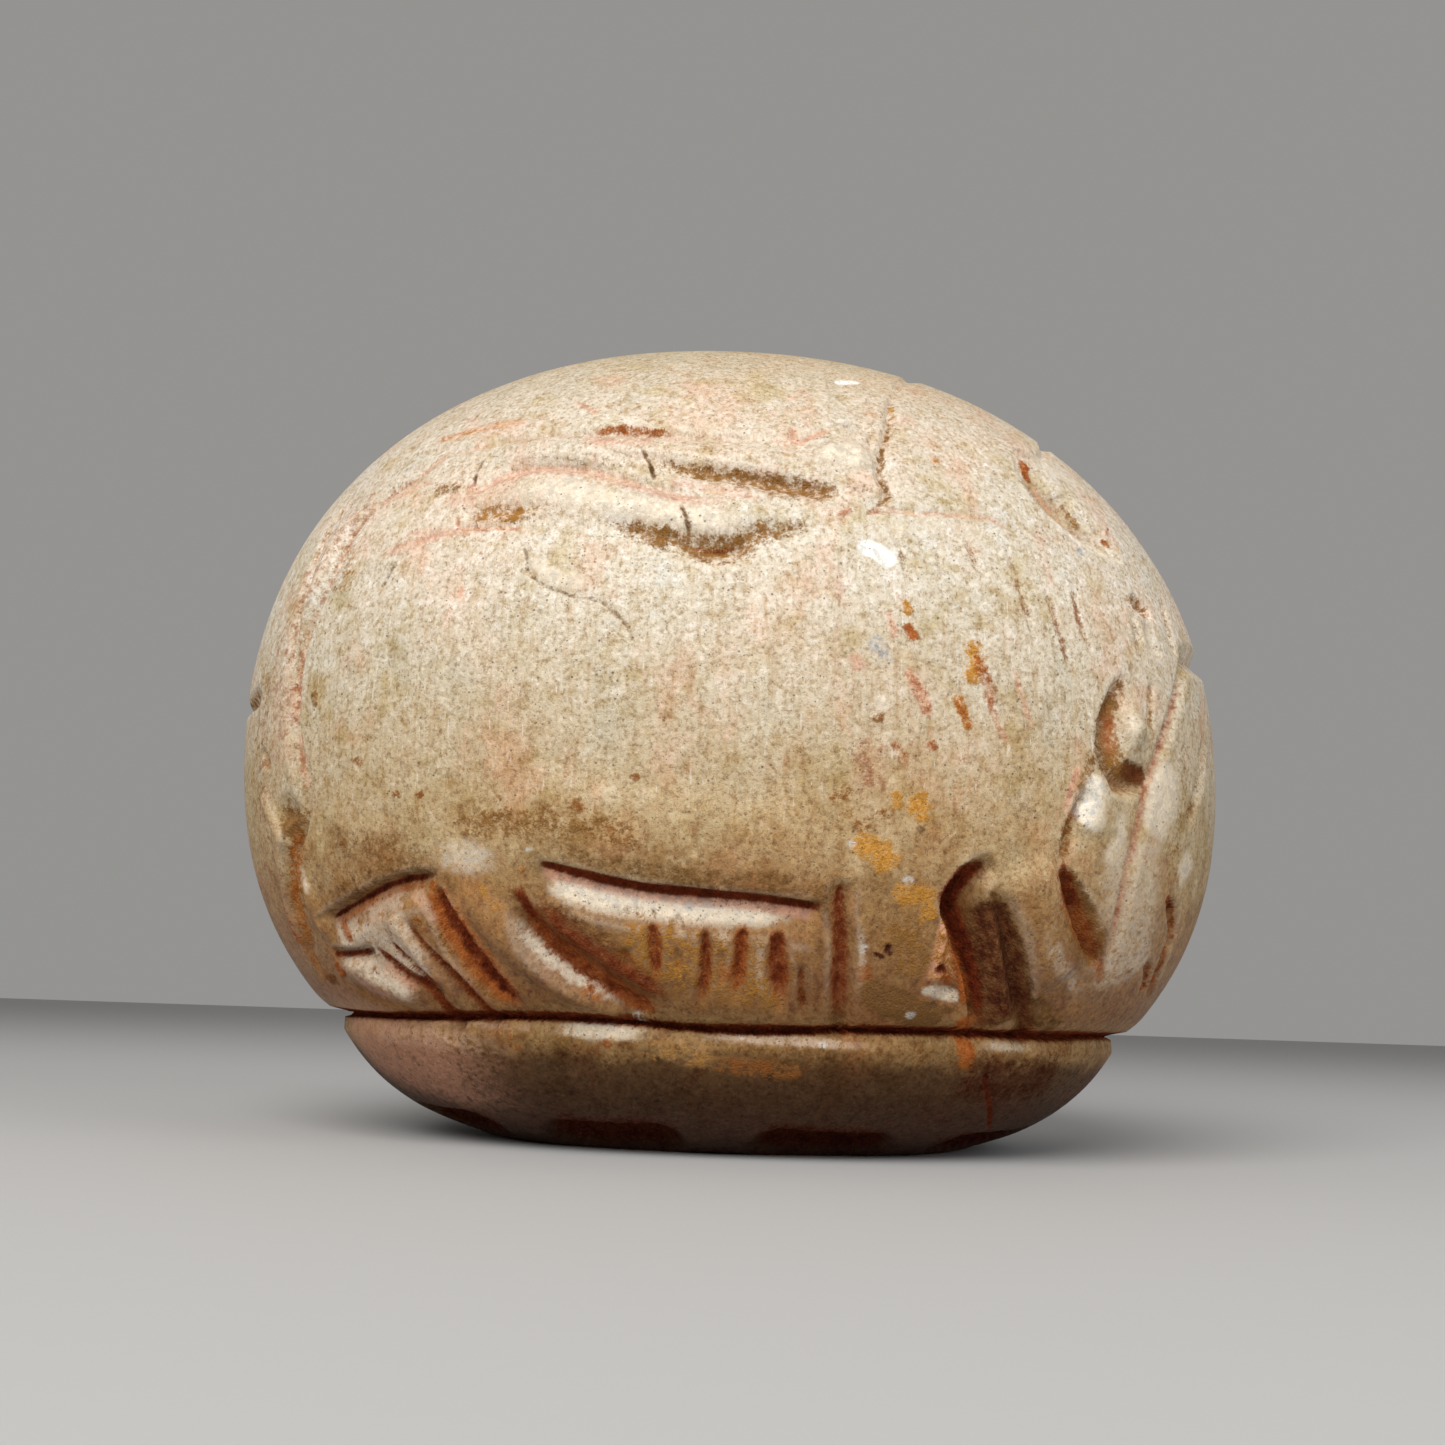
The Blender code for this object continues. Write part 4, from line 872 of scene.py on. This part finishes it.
def surface_values(directions, depth, inset, strokes):
    """How strong each stain, painted shade and painted highlight is at each direction, how deep the place is
    in units, and how worn as a rim.

    Stains lie where the photographer sees them, also on the walls of a cut.
    """
    shown = mirrored(directions)
    points = shown * body_radius(shown)[:, None]
    seen = slide(points - shown * depth[:, None], np.zeros(len(points)))
    far_side = on_far_side(directions)
    values = {name: np.zeros(len(points)) for name in STAINS}
    slot = (inset / GROOVE_DEPTH - LIP_SHARE).clip(0) / (1 - LIP_SHARE)
    values["sunk"] = depth / UNIT + slot
    values["earth"] = slot.clip(0, 1)
    # Near-black painted shade in the deepest part of the base groove, over its earth.
    values["soot"] = SLOT_SHADE * (1.5 * slot - 0.5).clip(0, 1)
    values["rim"] = np.zeros(len(points))
    for stroke in strokes:
        near = stroke.near(seen, stroke.reach + RIM_WEAR)
        if not stroke.both:
            near = near[~far_side[near]]
        if not len(near):
            continue
        distance, _, width, strength = stroke.measure(seen[near], stroke.traced)
        fill = strength * (1.5 * (1 - distance / width)).clip(0, 1)
        for name, amount in stroke.stains.items():
            values[name][near] = np.maximum(values[name][near], amount * fill)
        distance, cut_depth, width, _ = stroke.measure(points[near], stroke.points)
        worn = (1 - np.abs(distance - width) / RIM_WEAR).clip(0) * (cut_depth / UNIT).clip(0, 1)
        worn *= (1 - 3 * values["sunk"][near]).clip(0, 1)
        values["rim"][near] = np.maximum(values["rim"][near], worn)
    return values


def split_long_edges(directions, triangles, strokes):
    """Halves the edges that are longer than their place allows. It returns None once there are none."""
    corners = triangles[:, [0, 1, 1, 2, 2, 0]].reshape(-1, 2)
    edges, of_triangle = np.unique(np.sort(corners, axis=1), axis=0, return_inverse=True)
    of_triangle = of_triangle.reshape(-1, 3)
    middles = unit_vectors(directions[edges].sum(1))
    angles = np.linalg.norm(directions[edges[:, 0]] - directions[edges[:, 1]], axis=1)
    lengths = angles * body_radius(directions)[edges].min(1)
    split = lengths > FINE_EDGE * UNIT
    split[split] = lengths[split] > carve(middles[split], strokes)[1]
    if not split.any():
        return None
    longest = of_triangle[np.arange(len(triangles)), lengths[of_triangle].argmax(1)]
    while True:
        missing = split[of_triangle].any(1) & ~split[longest]
        if not missing.any():
            break
        split[longest[missing]] = True
    new_index = np.full(len(edges), -1)
    new_index[split] = len(directions) + np.arange(split.sum())
    turn = lengths[of_triangle].argmax(1)[:, None] + np.arange(3)
    a, b, c = np.take_along_axis(triangles, turn % 3, axis=1).T
    ab, bc, ca = new_index[np.take_along_axis(of_triangle, turn % 3, axis=1)].T
    whole, first, last = ab < 0, bc < 0, ca < 0
    parts = [
        triangles[whole],
        np.stack([ab, b, c], 1)[~whole & first],
        np.stack([ab, b, bc], 1)[~whole & ~first],
        np.stack([ab, bc, c], 1)[~whole & ~first],
        np.stack([ab, c, a], 1)[~whole & last],
        np.stack([ab, c, ca], 1)[~whole & ~last],
        np.stack([ab, ca, a], 1)[~whole & ~last],
    ]
    return np.vstack([directions, middles[split]]), np.vstack(parts)


def unevenness(points):
    """Slight hollows of a hand-rubbed surface, in metres of depth."""
    depths = []
    for point in points:
        place = Vector(point)
        depths.append(sum(depth * (0.5 + 0.5 * noise.noise(place / (across * UNIT)))
                          for across, depth in HOLLOWS))
    return np.array(depths) * UNIT


def add_values(mesh, name, values):
    """Stores one number for each point of the mesh."""
    attribute = mesh.attributes.new(name, "FLOAT", "POINT")
    attribute.data.foreach_set("value", np.ascontiguousarray(values, np.float32))


def carved_mesh(strokes):
    """The carved body as a mesh whose edges are short along the strokes and long on plain stone."""
    ball = bmesh.new()
    bmesh.ops.create_icosphere(ball, subdivisions=START_SUBDIVISIONS, radius=1)
    stretch = np.array([LENGTH / 2, WIDTH / 2, HEIGHT / 2])
    directions = unit_vectors(np.array([vert.co for vert in ball.verts]) * stretch)
    triangles = np.array([[vert.index for vert in face.verts] for face in ball.faces])
    ball.free()
    for _ in range(MOST_ROUNDS):
        finer = split_long_edges(directions, triangles, strokes)
        if finer is None:
            break
        directions, triangles = finer
    depth = carve(directions, strokes)[0]
    points, inset = cut_base_groove(directions * (body_radius(directions) - depth)[:, None])
    on_flat = points[:, 2] < -EQUATOR + MARGIN
    points -= directions * np.where(on_flat, 0, unevenness(points))[:, None]
    points += (0, 0, EQUATOR)
    mesh = bpy.data.meshes.new("carved_stone")
    mesh.from_pydata(points.tolist(), [], triangles.tolist())
    for name, values in surface_values(directions, depth, inset, strokes).items():
        add_values(mesh, name, values)
    mesh.shade_smooth()
    return mesh


def bore_cutter():
    """Round cutter for the string bore, with a worn funnel at each mouth."""
    overrun = 2 * UNIT
    mouth = (MOUTH_DIAMETER - BORE_DIAMETER) / 2
    outside = LENGTH / 2 + overrun
    inside = LENGTH / 2 - MOUTH_LENGTH
    wide = BORE_DIAMETER / 2 + mouth * (outside - inside) / MOUTH_LENGTH
    cutter = bmesh.new()
    rings = []
    turns = 2 * math.pi * np.arange(BORE_SIDES) / BORE_SIDES
    narrow = BORE_DIAMETER / 2
    for x, radius in ((-outside, wide), (-inside, narrow), (inside, narrow), (outside, wide)):
        rings.append([
            cutter.verts.new((x, radius * math.cos(turn), BORE_HEIGHT + radius * math.sin(turn)))
            for turn in turns
        ])
    for left, right in zip(rings, rings[1:]):
        for side in range(BORE_SIDES):
            following = (side + 1) % BORE_SIDES
            cutter.faces.new((left[side], left[following], right[following], right[side]))
    cutter.faces.new(reversed(rings[0]))
    cutter.faces.new(rings[-1])
    bmesh.ops.recalc_face_normals(cutter, faces=cutter.faces)
    mesh = bpy.data.meshes.new("string_bore")
    cutter.to_mesh(mesh)
    cutter.free()
    add_values(mesh, "umber", np.full(len(mesh.vertices), 0.8))
    return mesh


def add_object(name, mesh):
    placed = bpy.data.objects.new(name, mesh)
    bpy.context.scene.collection.objects.link(placed)
    return placed


class Shader:
    """Short names for the shader nodes that a material is built from."""

    def __init__(self, name):
        self.material = bpy.data.materials.new(name)
        self.material.use_nodes = True
        self.tree = self.material.node_tree
        self.surface = self.tree.nodes["Principled BSDF"]
        self.place = self.node("ShaderNodeTexCoord").outputs["Object"]

    def node(self, kind, **settings):
        made = self.tree.nodes.new(kind)
        for name, value in settings.items():
            setattr(made, name, value)
        return made

    def feed(self, socket, value):
        if isinstance(value, bpy.types.NodeSocket):
            self.tree.links.new(value, socket)
        elif value is not None:
            socket.default_value = value

    def stored(self, name):
        return self.node("ShaderNodeAttribute", attribute_name=name).outputs["Fac"]

    def math(self, operation, one, two=None, three=None, clamp=False):
        made = self.node("ShaderNodeMath", operation=operation, use_clamp=clamp)
        for socket, value in zip(made.inputs, (one, two, three)):
            self.feed(socket, value)
        return made.outputs[0]

    def times(self, one, two):
        return self.math("MULTIPLY", one, two)

    def scaled(self, value, scale, added):
        """A value times a scale, plus another value."""
        return self.math("MULTIPLY_ADD", value, scale, added)

    def stretched(self, scale, turn=(0, 0, 0)):
        made = self.node("ShaderNodeMapping")
        self.feed(made.inputs["Vector"], self.place)
        made.inputs["Scale"].default_value = scale
        made.inputs["Rotation"].default_value = turn
        return made.outputs[0]

    def noise(self, size, detail=2.0, vector=None, roughness=0.5):
        """Noise from 0 to 1 whose lumps are about that many units across."""
        made = self.node("ShaderNodeTexNoise")
        self.feed(made.inputs["Vector"], vector or self.place)
        made.inputs["Scale"].default_value = 1 / (size * UNIT)
        made.inputs["Detail"].default_value = detail
        made.inputs["Roughness"].default_value = roughness
        return made.outputs["Fac"]

    def voronoi(self, size):
        """Results of a pattern of cells about that many units apart."""
        made = self.node("ShaderNodeTexVoronoi")
        self.feed(made.inputs["Vector"], self.place)
        made.inputs["Scale"].default_value = 1 / (size * UNIT)
        return made.outputs

    def cells(self, size):
        """A random value from 0 to 1 for each grain of that many units."""
        return self.times(self.voronoi(size)["Color"], 1.0)

    def specks(self, size, share, patchy):
        """Dark specks that many units apart, each that share of it wide, where a noise is over patchy."""
        here = self.ramp(self.noise(2.5 * size, 3, roughness=0.8), patchy, patchy + 0.1)
        return self.times(self.ramp(self.voronoi(size)["Distance"], share, 0.4 * share), here)

    def ramp(self, value, low, high, to_low=0.0, to_high=1.0):
        """Smooth step of a value between two limits."""
        made = self.node("ShaderNodeMapRange", interpolation_type="SMOOTHSTEP")
        for name, number in (("Value", value), ("From Min", low), ("From Max", high),
                             ("To Min", to_low), ("To Max", to_high)):
            self.feed(made.inputs[name], number)
        return made.outputs[0]

    def colour_and_shade_by_height(self, value):
        """The stone's colour, with its painted shade, at a height in metres."""
        made = self.node("ShaderNodeValToRGB")
        marks = made.color_ramp.elements
        for number, (height, colour) in enumerate(STONE_AND_SHADE_BY_HEIGHT):
            mark = marks[number] if number < 2 else marks.new(1)
            mark.position = height / HEIGHT
            mark.color = (*colour, 1)
        self.feed(made.inputs[0], self.math("DIVIDE", value, HEIGHT))
        return made.outputs[0]

    def mix(self, factor, one, two, blend="MIX"):
        made = self.node("ShaderNodeMix", data_type="RGBA", blend_type=blend)
        self.feed(made.inputs[0], factor)
        self.feed(made.inputs[6], one if isinstance(one, bpy.types.NodeSocket) else (*one, 1))
        self.feed(made.inputs[7], two if isinstance(two, bpy.types.NodeSocket) else (*two, 1))
        return made.outputs[2]


def stone_noises(shader):
    """What colour, shine and relief share: noises, the height in metres, and how sunk a place is."""
    place = shader.node("ShaderNodeSeparateXYZ")
    shader.feed(place.inputs[0], shader.place)
    height = place.outputs["Z"]
    return SimpleNamespace(
        height=height,
        low_down=shader.ramp(height, 3.2 * GROOVE_HEIGHT, 1.5 * GROOVE_HEIGHT),
        crystals=shader.cells(0.22),
        grain=shader.noise(0.26, 3, roughness=0.8),
        fine=shader.noise(0.12, 1),
        patches=shader.noise(1.0, 4, roughness=0.7),
        mottle=shader.noise(2.6, 4, roughness=0.65),
        other_mottle=shader.noise(3.4, 4, shader.stretched((1.2, 1.0, 0.7), (1.0, 2.0, 0.5)), 0.65),
        edges=shader.noise(0.6, 3, roughness=0.7),
        broad=shader.noise(9, 2),
        fibres=shader.noise(0.9, 3, shader.stretched((3.2, 3.2, 0.4), (0, 0.1, 0)), 0.6),
        scratches=shader.noise(0.7, 2, shader.stretched((3.5, 3.5, 0.6), (0, 0.25, 0))),
        lumps=shader.noise(0.9, 4, shader.stretched((1.1, 1.0, 0.8), (2.0, 0.5, 1.0)), 0.8),
        dirt=shader.noise(0.17, 2, shader.stretched((1.0, 1.2, 0.9), (0.4, 0.8, 0.2)), 0.7),
        speckled=shader.math("MAXIMUM", shader.specks(0.42, 0.20, 0.5), shader.specks(0.23, 0.24, 0.53)),
        sunk=shader.stored("sunk"),
    )


def plain_colour(shader, stone):
    """Colour of the bare stone with its painted shade, in wavy layers by height and varied by the noises."""
    wave = shader.scaled(stone.patches, 5, shader.scaled(stone.mottle, 9, -7))
    wavy = shader.ramp(stone.height, GROOVE_HEIGHT, 2.5 * GROOVE_HEIGHT, 0.2 * UNIT, UNIT)
    colour = shader.colour_and_shade_by_height(shader.math("ADD", shader.times(wave, wavy), stone.height))
    # Each row is a noise, where its change starts and is full, how much of it there is, and the factor.
    for where, start, full, amount, factor in (
        (stone.lumps, 0.50, 0.66, shader.times(stone.low_down, 0.75), (0.62, 0.44, 0.26)),
        (stone.lumps, 0.48, 0.34, shader.times(stone.low_down, 0.6), (1.22, 1.18, 1.06)),
        (stone.broad, 0.45, 0.70, 0.5, (1.06, 0.94, 0.88)),
        (stone.mottle, 0.48, 0.30, 1.0, (0.84, 0.78, 0.60)),
        (stone.other_mottle, 0.52, 0.66, 0.8, (1.03, 0.86, 0.80)),
        (stone.other_mottle, 0.46, 0.32, 0.8, (0.92, 0.97, 1.02)),
        (stone.patches, 0.52, 0.70, 0.9, (1.16, 1.20, 1.32)),
        (stone.patches, 0.47, 0.30, 0.9, (0.78, 0.68, 0.50)),
        (stone.fibres, 0.50, 0.70, 0.7, (0.80, 0.68, 0.54)),
        (stone.grain, 0.50, 0.66, 0.8, (0.56, 0.44, 0.30)),
        (stone.grain, 0.48, 0.30, 0.6, (1.30, 1.34, 1.42)),
        (stone.crystals, 0.55, 0.95, 0.5, (1.22, 1.24, 1.28)),
        (stone.crystals, 0.45, 0.05, 0.6, (0.72, 0.66, 0.56)),
    ):
        colour = shader.mix(shader.ramp(where, start, full, 0, amount), colour, factor, "MULTIPLY")
    return colour


def worn_colour(shader, stone, scratched, colour):
    """Pale scratches, browner sunk places and pale worn rims over a colour."""
    colour = shader.mix(scratched, colour, SCRATCH_COLOUR)
    colour = shader.mix(shader.ramp(stone.sunk, 0.25, 1.3, 0, 0.8), colour, SUNK_TINT, "MULTIPLY")
    rubbed = shader.ramp(stone.height, GROOVE_HEIGHT, 1.5 * GROOVE_HEIGHT, 0, 0.2)
    return shader.mix(shader.times(shader.stored("rim"), rubbed), colour, RIM_COLOUR)


def stained_colour(shader, stone, colour):
    """Each stain, painted shade and painted highlight over a colour, broken up into grains. It returns how
    earthy each place is too.
    """
    breaking = shader.scaled(stone.edges, 2.2, shader.scaled(stone.grain, 1.7, -1.95))
    breaking = shader.scaled(stone.crystals, 0.3, shader.math("SUBTRACT", breaking, 0.15))
    earthy = shader.ramp(stone.sunk, 0.3, 1.2, 0, 0.5)
    for name, (stain_colour, breakup) in STAINS.items():
        amount = shader.stored(name)
        broken = shader.scaled(breaking, breakup, amount)
        seen = shader.times(shader.ramp(broken, 0.0, 0.95), shader.ramp(amount, 0.0, 0.4))
        light = [1.15 * part for part in stain_colour]
        dark = [0.7 * part for part in stain_colour]
        varied = shader.mix(shader.ramp(stone.edges, 0.35, 0.65), light, dark)
        varied = shader.mix(shader.ramp(stone.grain, 0.5, 0.35, 0, 0.5), varied, (1.6, 1.6, 1.6), "MULTIPLY")
        colour = shader.mix(seen, colour, varied)
        if name in EARTHY:
            earthy = shader.math("MAXIMUM", earthy, seen)
    return colour, earthy


def set_shine(shader, stone, earthy):
    """Satin on the worn stone, and matt where it is earthy or low down."""
    rough = shader.ramp(stone.grain, 0.25, 0.75, 0.40, 0.58)
    rough = shader.math("MULTIPLY_ADD", earthy, 0.35, rough, clamp=True)
    shader.feed(shader.surface.inputs["Roughness"], rough)
    above = shader.ramp(stone.height, 0.7 * GROOVE_HEIGHT, 1.5 * GROOVE_HEIGHT, 0.15, 1)
    gloss = shader.times(shader.ramp(earthy, 0.0, 0.8, 1, 0.1), above)
    shader.feed(shader.surface.inputs["Specular IOR Level"], shader.times(gloss, 0.45))


def set_relief(shader, stone, scratched, earthy):
    """Grain, crystals, specks and scratches as bump."""
    relief = shader.scaled(stone.grain, -1.0, shader.times(scratched, -0.3))
    relief = shader.scaled(stone.crystals, 0.35, relief)
    relief = shader.scaled(stone.speckled, -0.5, relief)
    relief = shader.scaled(stone.patches, 0.5, relief)
    relief = shader.scaled(shader.times(stone.fine, earthy), 1.6, relief)
    bump = shader.node("ShaderNodeBump")
    bump.inputs["Strength"].default_value = BUMP_STRENGTH
    bump.inputs["Distance"].default_value = BUMP_HEIGHT
    shader.feed(bump.inputs["Height"], relief)
    shader.feed(shader.surface.inputs["Normal"], bump.outputs[0])


def stone_material():
    """Cream to tan stone of fine sugary grain, with soft patches, fibres, pale scratches, its stains, and
    painted shade and highlights.
    """
    shader = Shader("carved_stone")
    stone = stone_noises(shader)
    high_up = shader.ramp(stone.height, 2 * GROOVE_HEIGHT, 3 * GROOVE_HEIGHT)
    scratched = shader.times(shader.ramp(stone.scratches, 0.66, 0.74, 0, 0.4), high_up)
    colour = worn_colour(shader, stone, scratched, plain_colour(shader, stone))
    colour, earthy = stained_colour(shader, stone, colour)
    patchy = shader.scaled(stone.low_down, 0.35, shader.ramp(stone.patches, 0.55, 0.42, 0.1, 0.4))
    colour = shader.mix(shader.times(shader.ramp(stone.dirt, 0.60, 0.68), patchy), colour, DIRT_COLOUR)
    colour = shader.mix(shader.times(stone.speckled, 0.75), colour, SPECK_COLOUR)
    shader.feed(shader.surface.inputs["Base Color"], colour)
    set_shine(shader, stone, earthy)
    set_relief(shader, stone, scratched, earthy)
    return shader.material


def floor_material():
    """Plain pale matt floor."""
    shader = Shader("pale_floor")
    tone = shader.ramp(shader.noise(40, 3), 0.3, 0.7, 0.98, 1.0)
    colour = shader.mix(tone, (0.42, 0.42, 0.42), (0.48, 0.48, 0.48))
    shader.feed(shader.surface.inputs["Base Color"], colour)
    shader.surface.inputs["Roughness"].default_value = 0.8
    return shader.material


def add_light(name, target, place, size, power, colour):
    """Round light that points from its place at the target."""
    data = bpy.data.lights.new(name, "AREA")
    data.shape = "DISK"
    data.size = size
    data.energy = power
    data.color = colour
    light = bpy.data.objects.new(name, data)
    bpy.context.scene.collection.objects.link(light)
    light.location = place
    light.rotation_euler = (Vector(target) - Vector(place)).to_track_quat("-Z", "Y").to_euler()


def light_and_floor():
    """Pale floor and world, a broad light over the front of the bead and a weak one beside the camera."""
    middle = (0, 0, HEIGHT / 2)
    add_light("key", middle, *KEY_LIGHT)
    add_light("fill", middle, *FILL_LIGHT)
    world = bpy.data.worlds.new("soft_grey")
    bpy.context.scene.world = world
    world.use_nodes = True
    shade = world.node_tree.nodes["Background"]
    shade.inputs["Color"].default_value = WORLD_COLOUR
    shade.inputs["Strength"].default_value = WORLD_STRENGTH
    mesh = bpy.data.meshes.new("floor")
    corners = [(x * FLOOR_REACH, y * FLOOR_REACH, 0) for x, y in ((-1, -1), (1, -1), (1, 1), (-1, 1))]
    mesh.from_pydata(corners, [], [(0, 1, 2, 3)])
    mesh.materials.append(floor_material())
    floor = add_object("floor", mesh)


def add_camera():
    data = bpy.data.cameras.new("camera")
    data.lens = LENS
    data.sensor_width = SENSOR_WIDTH
    data.clip_start = NEAREST_SEEN
    camera = bpy.data.objects.new("camera", data)
    bpy.context.scene.collection.objects.link(camera)
    turn = Matrix.Rotation(math.pi / 2 + CAMERA_PITCH, 4, "X") @ Matrix.Rotation(CAMERA_ROLL, 4, "Z")
    camera.matrix_world = Matrix.Translation(CAMERA_PLACE) @ turn
    bpy.context.scene.camera = camera


def dressed_bead():
    """The carved stone with its bore, in place of the plain solid."""
    strokes = (hind_leg() + middle_leg() + wing_edge() + front_leg() + head() + pronotum()
               + wing_cases() + tail() + base_lip() + rim_scoops() + seal_face() + wear_and_shade())
    mesh = carved_mesh(strokes)
    rough = add_object("uncut", mesh)
    cutter = add_object("cutter", bore_cutter())
    bore = rough.modifiers.new("string bore", "BOOLEAN")
    bore.operation = "DIFFERENCE"
    bore.solver = "EXACT"
    bore.object = cutter
    bpy.context.view_layer.update()
    graph = bpy.context.evaluated_depsgraph_get()
    bored = bpy.data.meshes.new_from_object(rough.evaluated_get(graph))
    for helper in (rough, cutter):
        bpy.data.objects.remove(helper)
    bored.materials.clear()
    bored.materials.append(stone_material())
    bead = add_object("carved_bead", bored)
    print("triangles:", sum(len(face.vertices) - 2 for face in bored.polygons))
    return bead


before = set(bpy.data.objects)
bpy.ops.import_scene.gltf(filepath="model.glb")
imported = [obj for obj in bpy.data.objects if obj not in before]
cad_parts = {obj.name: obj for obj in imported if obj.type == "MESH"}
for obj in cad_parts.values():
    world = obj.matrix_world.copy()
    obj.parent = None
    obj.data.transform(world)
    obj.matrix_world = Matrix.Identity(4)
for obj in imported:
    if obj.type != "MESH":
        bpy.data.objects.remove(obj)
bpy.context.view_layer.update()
bpy.context.scene.view_settings.view_transform = "Standard"
add_camera()
bead = dressed_bead()
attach(bead, "root")
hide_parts("scarab_bead")
light_and_floor()
